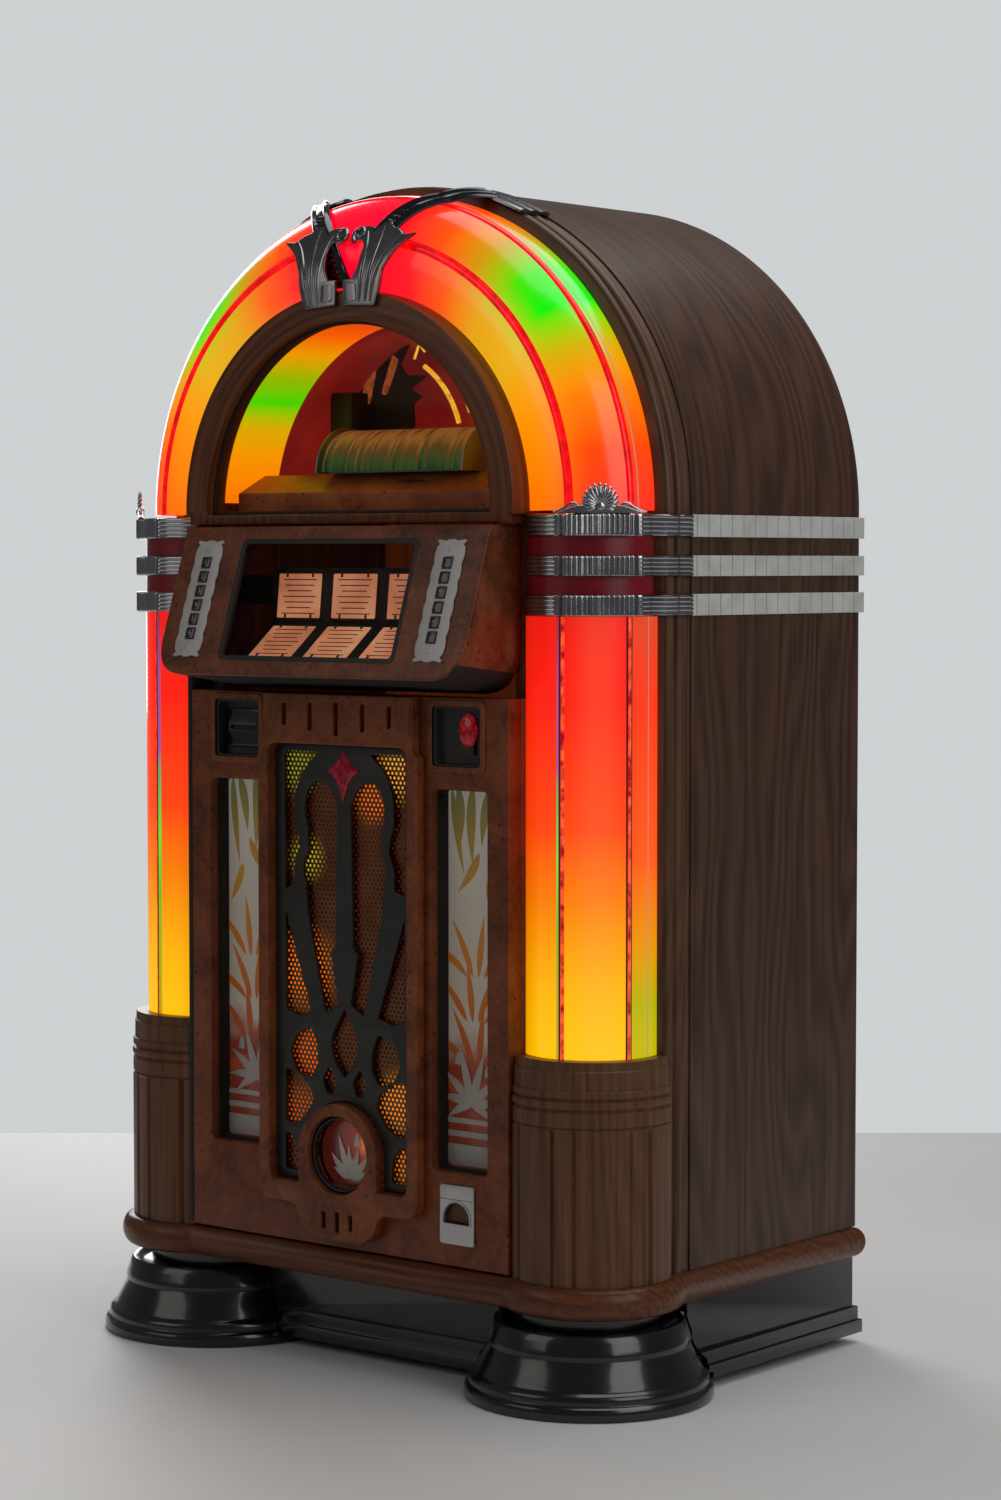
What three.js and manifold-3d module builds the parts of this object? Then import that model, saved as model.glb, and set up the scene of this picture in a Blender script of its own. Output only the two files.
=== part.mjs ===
// Full-size jukebox of the 1940s arch-top style, with a CD mechanism inside.
// Millimetres, +Z up. The origin is on the floor under the middle of the case, the front faces -Y and
// +X is to the right of somebody who stands in front of the machine.
import * as THREE from "three";
import { mergeVertices } from "three/addons/utils/BufferGeometryUtils.js";
import Module from "manifold-3d";

const wasm = await Module();
wasm.setup();

// ---------------------------------------------------------------- driving dimensions
const GAP = 0.4; // air left between neighbouring pieces
const BACK_Y = 338; // rear edge of the case
const CASE_HALF = 440; // half the width over the side panels
const BOARD = 20; // thickness of the case boards
const CASE_FRONT_Y = -65.5; // front edge of the side panels
const BASE_Z = 163.5; // top of the base moulding
const BASE_LOW_Z = 122;
const SPRING_Z = 1160; // centre of the arch; its radius is CASE_HALF, so the case is 1600 high

const BEAD_FRONT_Y = -123.5; // front of the bead moulding between the case and the plastic
const BEAD_DEPTH = 24;

const DOOR_Y = -250.5; // front face of the lower door
const DOOR_HALF = 283.5;
const DOOR_BACK_Y = -210.5;
const DOOR_TOP_Z = 915;
const DOOR_BOTTOM_Z = 166.5;

// The lit plastic is a bent sheet. Its ends are given in degrees from straight ahead to the outside.
const PLASTIC = 5;
const PILLAR = { x: 345, y: -152.5, r: 88, from: -41, to: 109 };
const TUBE = { x: 338, y: -140.5, r: 87, from: -35.8, to: 100.3 }; // section of the lit arch
const COLUMN_R = 110; // wooden columns under the pillars, on the same axes
const COLUMN_TOP_Z = 454;
const BAND_BOTTOM_Z = 1022;
const BAND_TOP_Z = 1153;

const FRAME_BACK_Y = -146; // rear edge of the fixed frame behind the doors
const FRAME_DEPTH = 23;

const PANEL_Y = -268.5; // front of the raised middle panel on the door
const HINGE_X = -288.5; // axis on which the lower door and the console swing
const HINGE_Y = -248.5;
const HINGE_R = 3;

const CONSOLE_HALF = 270;
const CONSOLE_TOP_Z = 1140;
const CONSOLE_TOP_Y = -270.5; // top edge of the sloping face
const CONSOLE_FACE = 211; // length of the sloping face
const CONSOLE_TILT = THREE.MathUtils.degToRad(18.6);
const CONSOLE_BOTTOM_Z = 919;
const KEYPAD_X = 215;

const ARCH_R = 292; // outside radius of the wooden title arch
const ARCH_OPENING_R = 252;
const ARCH_Y = -252.5;
const ARCH_BACK_Y = -215;
const ARCH_BOTTOM_Z = 1142;
const ARCH_SILL_Z = 1156;

const FOOT_X = 334;
const FOOT_Y = -144.5;

const WINDOW_X = [152, 248]; // art-glass windows in the door
const WINDOW_Z = [290, 794];
const GRILLE_HALF = 124; // opening of the middle panel
const GRILLE_Z = [252, 847];
const ROUND_Z = 294.5; // centre of the round window
const ROUND_R = 53;

// ---------------------------------------------------------------- materials
const material = (color, roughness, metalness = 0) =>
  new THREE.MeshStandardMaterial({ color, roughness, metalness });

const WALNUT = material(0x5a3a26, 0.5);
const BURL = material(0x6e3b20, 0.4);
const BLACK = material(0x0c0c0c, 0.25);
const CHROME = material(0xc9c9cc, 0.15, 1);
const GLOW = material(0xff6a1e, 0.3);
const LAMP = material(0xf6f2e6, 0.4);
const GLASS = material(0xd8d8cc, 0.1);
const MESH_METAL = material(0x8a6a3a, 0.4, 1);
const PLYWOOD = material(0x9a7a52, 0.8);
const STEEL = material(0x8d9094, 0.4, 1);
const PAPER = material(0xe59a5c, 0.8);
const RED = material(0x8a1512, 0.5);

// ---------------------------------------------------------------- solids
// A closed geometry as a solid, turned right side out.
function solid(geometry) {
  const bare = geometry.index ? geometry.clone() : mergeVertices(geometry);
  bare.deleteAttribute("normal");
  bare.deleteAttribute("uv");
  const merged = mergeVertices(bare, 1e-4);
  const build = (triVerts) =>
    new wasm.Manifold(
      new wasm.Mesh({ numProp: 3, vertProperties: merged.attributes.position.array, triVerts }),
    );
  const triVerts = new Uint32Array(merged.index.array);
  const made = build(triVerts);
  return made.volume() > 0 ? made : build(triVerts.reverse());
}

function geometryOf(manifold) {
  const mesh = manifold.getMesh();
  const geometry = new THREE.BufferGeometry();
  geometry.setAttribute("position", new THREE.BufferAttribute(mesh.vertProperties, 3));
  geometry.setIndex(new THREE.BufferAttribute(mesh.triVerts, 1));
  const flat = geometry.toNonIndexed();
  flat.computeVertexNormals();
  return flat;
}

const box = (x0, x1, y0, y1, z0, z1) =>
  solid(
    new THREE.BoxGeometry(x1 - x0, y1 - y0, z1 - z0).translate(
      (x0 + x1) / 2,
      (y0 + y1) / 2,
      (z0 + z1) / 2,
    ),
  );

const extruded = (shape, depth, curveSegments) =>
  new THREE.ExtrudeGeometry(shape, { depth, bevelEnabled: false, curveSegments });

// A plan drawn in X and Y, standing from z0 to z1.
const upright = (shape, z0, z1, curveSegments = 10) =>
  solid(extruded(shape, z1 - z0, curveSegments).translate(0, 0, z0));

// An elevation drawn in X and Z, running back from y0 to y1.
const facing = (shape, y0, y1, curveSegments = 10) =>
  solid(extruded(shape, y1 - y0, curveSegments).rotateX(Math.PI / 2).translate(0, y1, 0));

// A side profile drawn in Y and Z, running across from x0 to x1.
function across(shape, x0, x1, curveSegments = 6) {
  const turn = new THREE.Matrix4().makeBasis(
    new THREE.Vector3(0, 1, 0),
    new THREE.Vector3(0, 0, 1),
    new THREE.Vector3(1, 0, 0),
  );
  return solid(extruded(shape, x1 - x0, curveSegments).applyMatrix4(turn).translate(x0, 0, 0));
}

const points = (list) => list.map(([x, y]) => new THREE.Vector2(x, y));
const polygon = (list) => new THREE.Shape(points(list));

function rectangle(x0, x1, y0, y1, radius = 0) {
  if (!radius) return polygon([[x0, y0], [x1, y0], [x1, y1], [x0, y1]]);
  const shape = new THREE.Shape();
  shape.moveTo(x0 + radius, y0);
  shape.lineTo(x1 - radius, y0);
  shape.absarc(x1 - radius, y0 + radius, radius, -Math.PI / 2, 0);
  shape.lineTo(x1, y1 - radius);
  shape.absarc(x1 - radius, y1 - radius, radius, 0, Math.PI / 2);
  shape.lineTo(x0 + radius, y1);
  shape.absarc(x0 + radius, y1 - radius, radius, Math.PI / 2, Math.PI);
  shape.lineTo(x0, y0 + radius);
  shape.absarc(x0 + radius, y0 + radius, radius, Math.PI, Math.PI * 1.5);
  return shape;
}

// A profile of radius and height turned about an upright axis.
const turned = (profile, x, y, segments = 32) =>
  solid(new THREE.LatheGeometry(points(profile), segments).rotateX(Math.PI / 2).translate(x, y, 0));

// A profile of radius and Y turned about a fore-and-aft axis at height z.
const turnedAboutY = (profile, z, segments = 32) =>
  solid(new THREE.LatheGeometry(points(profile), segments).translate(0, 0, z));

const union = (list) => list.reduce((sum, item) => sum.add(item));
const cut = (stock, tools) => tools.reduce((left, tool) => left.subtract(tool), stock);
const moved = (manifold, x, y, z) => solid(geometryOf(manifold).translate(x, y, z));

function part(name, manifold, look) {
  const mesh = new THREE.Mesh(geometryOf(manifold), look);
  mesh.name = name;
  return mesh;
}

// The same piece on both sides: the right one as drawn, the left one mirrored.
function bothSides(name, make, look) {
  const right = part(name + "_right", make(), look);
  const left = part(name + "_left", make(), look);
  left.scale.x = -1;
  return [left, right];
}

function group(name, children, x = 0, y = 0, z = 0) {
  const made = new THREE.Group();
  made.name = name;
  made.position.set(x, y, z);
  made.add(...children);
  return made;
}

const above = (z) => box(-900, 900, -900, 900, z, z + 2000);

// Points of an arc about an axis, in plan; angles run from straight ahead to the outside.
function planArc(radius, from, to, steps, { x, y } = PILLAR) {
  const list = [];
  for (let i = 0; i <= steps; i++) {
    const angle = THREE.MathUtils.degToRad(from + ((to - from) * i) / steps);
    const r = typeof radius === "function" ? radius(from + ((to - from) * i) / steps) : radius;
    list.push([x + r * Math.sin(angle), y - r * Math.cos(angle)]);
  }
  return list;
}

// ---------------------------------------------------------------- case
const sidePanel = () =>
  box(CASE_HALF - BOARD, CASE_HALF, CASE_FRONT_Y, BACK_Y, BASE_Z + GAP, SPRING_Z - GAP);

function shellArch() {
  const inside = CASE_HALF - BOARD;
  const ring = [
    [inside, CASE_FRONT_Y],
    [CASE_HALF, CASE_FRONT_Y],
    [CASE_HALF, BACK_Y - 16],
    [CASE_HALF - 4, BACK_Y - 4],
    [CASE_HALF - 12, BACK_Y],
    [inside, BACK_Y],
    [inside, CASE_FRONT_Y],
  ];
  return turnedAboutY(ring, SPRING_Z, 72).intersect(above(SPRING_Z));
}

// Two half-round beads with a flat behind them, drawn as depth from the outside against Y.
function beadProfile() {
  const bead = 9;
  const back = CASE_FRONT_Y - GAP;
  const list = [[BEAD_DEPTH, BEAD_FRONT_Y], [3, BEAD_FRONT_Y]];
  for (const start of [BEAD_FRONT_Y + 5, BEAD_FRONT_Y + 28]) {
    for (let i = 0; i <= 3; i++) {
      const angle = (Math.PI * i) / 3;
      list.push([9 - 9 * Math.sin(angle), start + bead - bead * Math.cos(angle)]);
    }
  }
  list.push([3, back], [BEAD_DEPTH, back], [BEAD_DEPTH, BEAD_FRONT_Y]);
  return list;
}

function beadTrim() {
  const profile = beadProfile();
  const arch = turnedAboutY(
    profile.map(([depth, y]) => [CASE_HALF - depth, y]),
    SPRING_Z,
    48,
  ).intersect(above(SPRING_Z));
  const legs = [-1, 1].map((side) =>
    upright(
      polygon(profile.slice(0, -1).map(([depth, y]) => [side * (CASE_HALF - depth), y])),
      BASE_Z + GAP,
      SPRING_Z,
    ),
  );
  return union([arch, ...legs]);
}

function backPanel() {
  const inside = CASE_HALF - BOARD - GAP;
  const board = facing(archOutline(inside, BASE_Z + GAP), BACK_Y - 22, BACK_Y - 10, 24);
  const slots = [];
  for (const z of [330, 370, 410, 450, 1240, 1280, 1320, 1360]) {
    slots.push(box(-150, 150, BACK_Y - 30, BACK_Y, z, z + 12));
  }
  const inletHole = box(-320, -260, BACK_Y - 30, BACK_Y, 215, 265);
  return cut(board, [...slots, inletHole]);
}

function mainsInlet() {
  const flange = box(-330, -250, BACK_Y - 9.6, BACK_Y - 7, 205, 275);
  const body = box(-319, -261, BACK_Y - 45, BACK_Y - 9, 216, 264);
  const socket = box(-304, -276, BACK_Y - 30, BACK_Y, 228, 252);
  const pins = [-298, -290, -282].map((x) => box(x - 1.5, x + 1.5, BACK_Y - 31, BACK_Y - 14, 237, 243));
  return union([flange.add(body).subtract(socket), ...pins]);
}

// Rounded edge of the base board, as radius against height, for a body that reaches out to edge.
function bullnose(edge) {
  const half = (BASE_Z - BASE_LOW_Z) / 2;
  const list = [];
  for (let i = 0; i <= 4; i++) {
    const angle = -Math.PI / 2 + (Math.PI * i) / 4;
    list.push([edge - 14 + 14 * Math.cos(angle), BASE_LOW_Z + half + half * Math.sin(angle)]);
  }
  return list;
}

function baseMoulding() {
  const side = 453;
  const front = 259;
  const nose = bullnose(side);
  const mirrored = nose.map(([x, z]) => [-x, z]).reverse();
  const slab = facing(polygon([...nose, ...mirrored]), PILLAR.y, BACK_Y - 4);
  const nosing = bullnose(front).map(([y, z]) => [-y, z]);
  const apron = across(
    polygon([...nosing, [PILLAR.y + 1, BASE_Z], [PILLAR.y + 1, BASE_LOW_Z]]),
    -PILLAR.x,
    PILLAR.x,
  );
  const corner = bullnose(126);
  const discs = [-PILLAR.x, PILLAR.x].map((x) =>
    turned([[0, BASE_LOW_Z], ...corner, [0, BASE_Z]], x, PILLAR.y, 32),
  );
  return union([slab, apron, ...discs]);
}

// A bell with an open rim round a thick neck.
const FOOT_PROFILE = [
  [0, 0],
  [160, 0],
  [165, 4],
  [165, 13],
  [158.5, 20],
  [157, 31],
  [150, 37],
  [145, 46],
  [138, 60],
  [133.5, 70],
  [134.5, 76],
  [131, 89],
  [126, 101],
  [121, 103],
  [115, 100],
  [112, 96],
  [98, 94],
  [98, BASE_LOW_Z - GAP],
  [0, BASE_LOW_Z - GAP],
];

const foot = () => turned(FOOT_PROFILE, FOOT_X, FOOT_Y, 28);

// The foot with a little air round it, to cut out of its neighbours.
const FOOT_ROOM = [
  [0, -1],
  [168, -1],
  [168, 22],
  [161, 23],
  [160, 39],
  [148, 51],
  [140, 63],
  [137, 70],
  [137, 80],
  [128, 106],
  [100, 106],
  [100, 130],
  [0, 130],
];

const footRoom = (side) => turned(FOOT_ROOM, side * FOOT_X, FOOT_Y, 32);

// A ring of boards with two steps of skirting and a pair of glides at the rear.
function plinth() {
  const top = BASE_LOW_Z - GAP;
  const low = 14;
  const levels = [
    [432, -178, BACK_Y - 5, low, top],
    [440, -184, BACK_Y - 3, low, 50],
    [446, -190, BACK_Y - 1, low, 32],
  ];
  const outside = union(levels.map(([x, front, back, z0, z1]) => box(-x, x, front, back, z0, z1)));
  const inside = box(-414, 414, -160, 317, 0, 150);
  const glides = [-1, 1].map((side) =>
    turned([[0, 0], [26, 0], [30, 4], [30, 30], [0, 30]], side * 380, 300, 16).add(
      box(side * 380 - 34, side * 380 + 34, 266, 318, 24, 60),
    ),
  );
  const corners = [-1, 1].map((side) => box(side * 480 - 100, side * 480 + 100, -400, -60, 0, 150));
  const ring = cut(outside, [inside, footRoom(-1), footRoom(1), ...corners]);
  const rail = box(-236, 236, -160, 318, 104, top);
  const feet = union([footRoom(-1), footRoom(1)]);
  const deck = box(-430, 430, -44, 318, 106, top);
  return union([ring, ...glides, deck, rail.subtract(feet)]);
}

// ---------------------------------------------------------------- lit pillars and arch
function columnProfile() {
  return [
    [0, BASE_Z + GAP],
    [COLUMN_R, BASE_Z + GAP],
    [COLUMN_R, COLUMN_TOP_Z - 87],
    [COLUMN_R - 1, COLUMN_TOP_Z - 86],
    [COLUMN_R - 1, COLUMN_TOP_Z - 64],
    [COLUMN_R - 3, COLUMN_TOP_Z - 62],
    [COLUMN_R, COLUMN_TOP_Z - 60],
    [COLUMN_R, COLUMN_TOP_Z - 51],
    [COLUMN_R - 3, COLUMN_TOP_Z - 49],
    [COLUMN_R - 1, COLUMN_TOP_Z - 47],
    [COLUMN_R - 1, COLUMN_TOP_Z - 38],
    [COLUMN_R - 3, COLUMN_TOP_Z - 36],
    [COLUMN_R - 3, COLUMN_TOP_Z - 12],
    [COLUMN_R - 5, COLUMN_TOP_Z - 10],
    [COLUMN_R - 5, COLUMN_TOP_Z],
    [0, COLUMN_TOP_Z],
  ];
}

function column() {
  const whole = turned(columnProfile(), PILLAR.x, PILLAR.y, 36);
  const flutes = [];
  for (const angle of [-22, 9, 25, 65, 81]) {
    const [[x, y]] = planArc(COLUMN_R + 2.5, angle, angle, 1);
    flutes.push(turned([[0, 100], [5, 100], [5, COLUMN_TOP_Z - 96], [0, COLUMN_TOP_Z - 88]], x, y, 8));
  }
  const clearOfHinge = turned([[0, 0], [HINGE_R + 0.5, 0], [HINGE_R + 0.5, 700], [0, 700]], -HINGE_X, HINGE_Y, 12);
  const clearOfDoor = box(0, DOOR_HALF + 3.5, -400, 0, 0, 700);
  const clearOfBeads = box(0, 700, BEAD_FRONT_Y - GAP, 300, 0, 700);
  return cut(whole, [...flutes, clearOfDoor, clearOfBeads, clearOfHinge]);
}

// Section of the plastic. A bubble tube shows as a ridge at each of two angles.
const RIDGES = [19, 70];
const RIDGE_HALF = 3;

function plasticOutline(section, steps) {
  const { x, y, r, from, to } = section;
  const at = (radius, angle) => planArc(radius, angle, angle, 1, section).slice(1);
  const bearing = ([px, py]) => THREE.MathUtils.radToDeg(Math.atan2(px - x, y - py));
  const clearOf = (point) => (ridge) => Math.abs(bearing(point) - ridge) > RIDGE_HALF + 0.6;
  const outer = planArc(r, from, to, steps, section).filter((point) => RIDGES.every(clearOf(point)));
  const ridges = RIDGES.flatMap((ridge) => [
    ...at(r, ridge - RIDGE_HALF - 0.5),
    ...at(r + 2, ridge - RIDGE_HALF),
    ...at(r + 2, ridge + RIDGE_HALF),
    ...at(r, ridge + RIDGE_HALF + 0.5),
  ]);
  const front = [...outer, ...ridges].sort((a, b) => bearing(a) - bearing(b));
  const inner = planArc(r - PLASTIC, to, from + 1.5, Math.round(steps / 2), section);
  return [...front, ...inner];
}

const pillar = () =>
  upright(polygon(plasticOutline(PILLAR, 26)), COLUMN_TOP_Z + GAP, BAND_BOTTOM_Z - GAP);

function archPlastic() {
  const outline = plasticOutline(TUBE, 14);
  return turnedAboutY([...outline, outline[0]], SPRING_Z, 48).intersect(above(BAND_TOP_Z + GAP + 4));
}

// A fluorescent tube with a cap at each end.
function lamp() {
  const low = COLUMN_TOP_Z + GAP;
  const high = BAND_BOTTOM_Z - 20;
  const profile = [
    [0, low],
    [16, low],
    [16, low + 30],
    [13, low + 31],
    [13, high - 31],
    [16, high - 30],
    [16, high],
    [0, high],
  ];
  return turned(profile, PILLAR.x, PILLAR.y, 12);
}

// Three chrome bands on a red sleeve. Each runs on over the beads and back along the side panel.
const BANDS = [[BAND_BOTTOM_Z, 1050], [1073, 1100], [1124, BAND_TOP_Z]];
const BAND_FROM = -38;
const BULGE = { at: 45, half: 34, r: 102 };

function bandRadius(angle) {
  const from = Math.abs(angle - BULGE.at);
  if (from < BULGE.half) return BULGE.r - 3 * (from / BULGE.half) ** 4;
  return from < BULGE.half + 6 ? 89 : 92;
}

function bands() {
  const beadOutside = CASE_HALF + 6;
  const tile = CASE_HALF + 3;
  const edge = CASE_HALF + GAP;
  const inner = 76;
  const outline = [
    ...planArc(bandRadius, BAND_FROM, 94, 20),
    [PILLAR.x + 96, BEAD_FRONT_Y - 2],
    [beadOutside, BEAD_FRONT_Y - 2],
    [beadOutside, CASE_FRONT_Y - 2],
    [tile, CASE_FRONT_Y - 2],
    [tile, BACK_Y - 1],
    [edge, BACK_Y - 1],
    [edge, BEAD_FRONT_Y - 1],
    [PILLAR.x + inner - 6, BEAD_FRONT_Y - 1],
    ...planArc(inner, 98, BAND_FROM, 8),
  ];
  const rings = BANDS.map(([z0, z1]) => upright(polygon(outline), z0, z1));
  const sleeve = [...planArc(PILLAR.r, BAND_FROM, 100, 12), ...planArc(inner, 100, BAND_FROM, 8)];
  return union([...rings, upright(polygon(sleeve), BAND_BOTTOM_Z + 1, BAND_TOP_Z - 1), fan()]);
}

// A ribbed shell standing on the top band where it bulges.
function fan() {
  const shape = new THREE.Shape();
  const ribs = 9;
  shape.moveTo(-60, 0);
  shape.quadraticCurveTo(-40, 4, -26, 12);
  for (let i = 0; i <= ribs * 2; i++) {
    const angle = Math.PI - (Math.PI * i) / (ribs * 2);
    const r = i % 2 ? 42 : 39;
    shape.lineTo(r * 0.66 * Math.cos(angle), 12 + r * 0.82 * Math.sin(angle));
  }
  shape.quadraticCurveTo(40, 4, 60, 0);
  const plate = geometryOf(facing(shape, -5, 5, 5));
  const [[x, y]] = planArc(95, BULGE.at, BULGE.at, 1);
  plate.rotateZ(Math.PI / 4).translate(x, y, BAND_TOP_Z - 1);
  return solid(plate);
}

// An arm that reaches back over the lit arch. Along counts degrees round the plastic, from its front;
// away is the angle from the top of the arch at which the arm's middle lies.
const ARM_FROM = -24;
const ARM_TO = 98;
const armAway = (along) => 4.5 + 15 * ((along - ARM_FROM) / (ARM_TO - ARM_FROM)) ** 1.4;
const armLift = (along) => TUBE.r + 4 + (along > 70 ? 0.5 * (along - 70) : 0);

function crownArm() {
  const width = 13;
  const thick = 8;
  const steps = 13;
  const rings = [];
  for (let i = 0; i <= steps; i++) {
    const along = ARM_FROM + ((ARM_TO - ARM_FROM) * i) / steps;
    const turn = THREE.MathUtils.degToRad(along);
    const side = THREE.MathUtils.degToRad(armAway(along));
    const place = (lift, shift) => {
      const minor = armLift(along) + lift;
      const radius = TUBE.x + minor * Math.sin(turn);
      return new THREE.Vector3(
        radius * Math.sin(side) + shift * Math.cos(side),
        TUBE.y - minor * Math.cos(turn),
        SPRING_Z + radius * Math.cos(side) - shift * Math.sin(side),
      );
    };
    const top = width * 0.5;
    rings.push([place(0, -width), place(0, width), place(thick, top), place(thick, -top)]);
  }
  return solid(loft(rings));
}

// A closed skin over rings that all have the same number of corners.
function loft(rings) {
  const corners = rings[0].length;
  const positions = rings.flat().flatMap((corner) => corner.toArray());
  const index = [];
  for (let i = 0; i + 1 < rings.length; i++) {
    for (let j = 0; j < corners; j++) {
      const a = i * corners + j;
      const b = i * corners + ((j + 1) % corners);
      index.push(a, b, a + corners, b, b + corners, a + corners);
    }
  }
  const last = (rings.length - 1) * corners;
  for (let j = 1; j + 1 < corners; j++) {
    index.push(0, j + 1, j, last, last + j, last + j + 1);
  }
  const geometry = new THREE.BufferGeometry();
  geometry.setAttribute("position", new THREE.Float32BufferAttribute(positions, 3));
  geometry.setIndex(index);
  return geometry;
}

// A chrome leaf bracket on the title arch, its arm, and the clasp that holds the arm at the beads.
function crown() {
  const leaf = [
    [6, 1434],
    [60, 1431],
    [66, 1440],
    [52, 1446],
    [58, 1474],
    [74, 1498],
    [112, 1520],
    [86, 1519],
    [66, 1534],
    [40, 1530],
    [20, 1533],
    [14, 1520],
    [34, 1508],
    [30, 1470],
    [22, 1448],
    [6, 1444],
  ];
  const plate = facing(polygon(leaf), ARCH_Y - 8, ARCH_Y - GAP);
  const neck = box(32, 56, ARCH_Y - 4, ARCH_Y + 18, 1486, 1516);
  const clasp = box(112, 206, BEAD_FRONT_Y - 6, CASE_FRONT_Y + 10, 1500, 1598);
  const [low, high] = [CASE_HALF + 0.6, CASE_HALF + 6];
  const cover = [[low, -200], [high, -200], [high, 0], [low, 0], [low, -200]];
  return union([plate, neck, crownArm(), clasp.intersect(turnedAboutY(cover, SPRING_Z, 72))]);
}

// ---------------------------------------------------------------- frame behind the doors
function frontFrame() {
  const outside = DOOR_HALF + 1;
  const inside = outside - FRAME_DEPTH;
  const front = DOOR_BACK_Y + 3;
  const ring = [[inside, front], [outside, front], [outside, FRAME_BACK_Y], [inside, FRAME_BACK_Y],
    [inside, front]];
  const arch = turnedAboutY(ring, SPRING_Z, 60).intersect(above(SPRING_Z));
  const posts = [-1, 1].map((side) => {
    const [x0, x1] = side < 0 ? [-outside, -inside] : [inside, outside];
    return box(x0, x1, front, FRAME_BACK_Y, BASE_Z + GAP, SPRING_Z);
  });
  const sill = box(-inside - 1, inside + 1, front, FRAME_BACK_Y, BASE_Z + GAP, BASE_Z + 20);
  return union([arch, ...posts, sill]);
}

// An arched outline: a flat bottom at height low under a round top about the arch centre.
function archOutline(radius, low) {
  const shape = new THREE.Shape();
  const start = low > SPRING_Z ? Math.asin((low - SPRING_Z) / radius) : 0;
  if (!start) {
    shape.moveTo(-radius, low);
    shape.lineTo(radius, low);
  }
  shape.absarc(0, SPRING_Z, radius, start, Math.PI - start);
  return shape;
}

function titleArch() {
  const stock = facing(archOutline(ARCH_R, ARCH_BOTTOM_Z), ARCH_Y, ARCH_BACK_Y, 36);
  const sight = archOutline(ARCH_OPENING_R, ARCH_SILL_Z);
  const opening = facing(sight, ARCH_Y - 10, ARCH_BACK_Y + 10, 30);
  // room for the ends of the top bands
  const ends = [-1, 1].map((side) => {
    const [x0, x1] = side < 0 ? [-300, -284] : [284, 300];
    return box(x0, x1, ARCH_Y - 10, ARCH_BACK_Y + 10, 1100, BAND_TOP_Z + GAP);
  });
  return cut(stock, [opening, ...ends]);
}

function archGlass() {
  const pane = archOutline(ARCH_OPENING_R - GAP * 2, ARCH_SILL_Z + GAP);
  return facing(pane, ARCH_Y + 20, ARCH_Y + 24, 30);
}

// Hinge barrel with the leaf that wraps behind the door edge to the frame.
function hinge(z0, z1) {
  const leaf = upright(
    polygon([
      [HINGE_X, HINGE_Y - 0.5],
      [HINGE_X + 4.2, HINGE_Y - 0.5],
      [HINGE_X + 4.2, DOOR_BACK_Y + 0.8],
      [-262, DOOR_BACK_Y + 0.8],
      [-262, DOOR_BACK_Y + 2.4],
      [HINGE_X + 2.9, DOOR_BACK_Y + 2.4],
      [HINGE_X + 2.9, HINGE_Y + 1],
      [HINGE_X, HINGE_Y + 1],
    ]),
    z0,
    z1,
  );
  return turned([[0, z0], [HINGE_R, z0], [HINGE_R, z1], [0, z1]], HINGE_X, HINGE_Y, 12).add(leaf);
}

// ---------------------------------------------------------------- lower door
const COIN_X = [151, 242];
const COIN_Z = [820, 908];
const RETURN_X = [170, 228];
const RETURN_Z = [196, 275];

function lowerDoorPanel() {
  const board = box(-DOOR_HALF, DOOR_HALF, DOOR_Y, DOOR_BACK_Y, DOOR_BOTTOM_Z, DOOR_TOP_Z);
  const through = (x0, x1, z0, z1, radius) =>
    facing(rectangle(x0, x1, z0, z1, radius), DOOR_Y - 5, DOOR_BACK_Y + 5, 3);
  const windows = [-1, 1].map((side) => {
    const [x0, x1] = side < 0 ? [-WINDOW_X[1], -WINDOW_X[0]] : WINDOW_X;
    return through(x0, x1, WINDOW_Z[0], WINDOW_Z[1], 6);
  });
  const coins = [-1, 1].map((side) => {
    const [x0, x1] = side < 0 ? [-COIN_X[1], -COIN_X[0]] : COIN_X;
    return through(x0, x1, COIN_Z[0], COIN_Z[1], 4);
  });
  const grille = through(-GRILLE_HALF, GRILLE_HALF, GRILLE_Z[0], GRILLE_Z[1], 6);
  const coinReturn = through(RETURN_X[0] + 4, RETURN_X[1] - 4, RETURN_Z[0] + 8, RETURN_Z[1] - 8, 0);
  return cut(board, [...windows, ...coins, grille, coinReturn]);
}

function centrePanelShape() {
  const step = 835;
  const half = 142;
  const neck = 134;
  const corner = 22;
  const low = 222;
  const bump = 65;
  const shape = new THREE.Shape();
  shape.moveTo(-bump, 196);
  shape.quadraticCurveTo(-bump + 4, 178, -bump + 26, 178);
  shape.lineTo(bump - 26, 178);
  shape.quadraticCurveTo(bump - 4, 178, bump, 196);
  shape.quadraticCurveTo(bump + 2, low, bump + 24, low);
  shape.lineTo(half - corner, low);
  shape.quadraticCurveTo(half, low, half, low + corner);
  shape.lineTo(half, step - 6);
  shape.lineTo(neck, step + 4);
  shape.lineTo(neck, DOOR_TOP_Z);
  shape.lineTo(-neck, DOOR_TOP_Z);
  shape.lineTo(-neck, step + 4);
  shape.lineTo(-half, step - 6);
  shape.lineTo(-half, low + corner);
  shape.quadraticCurveTo(-half, low, -half + corner, low);
  shape.lineTo(-bump - 24, low);
  shape.quadraticCurveTo(-bump - 2, low, -bump, 196);
  return shape;
}

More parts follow.
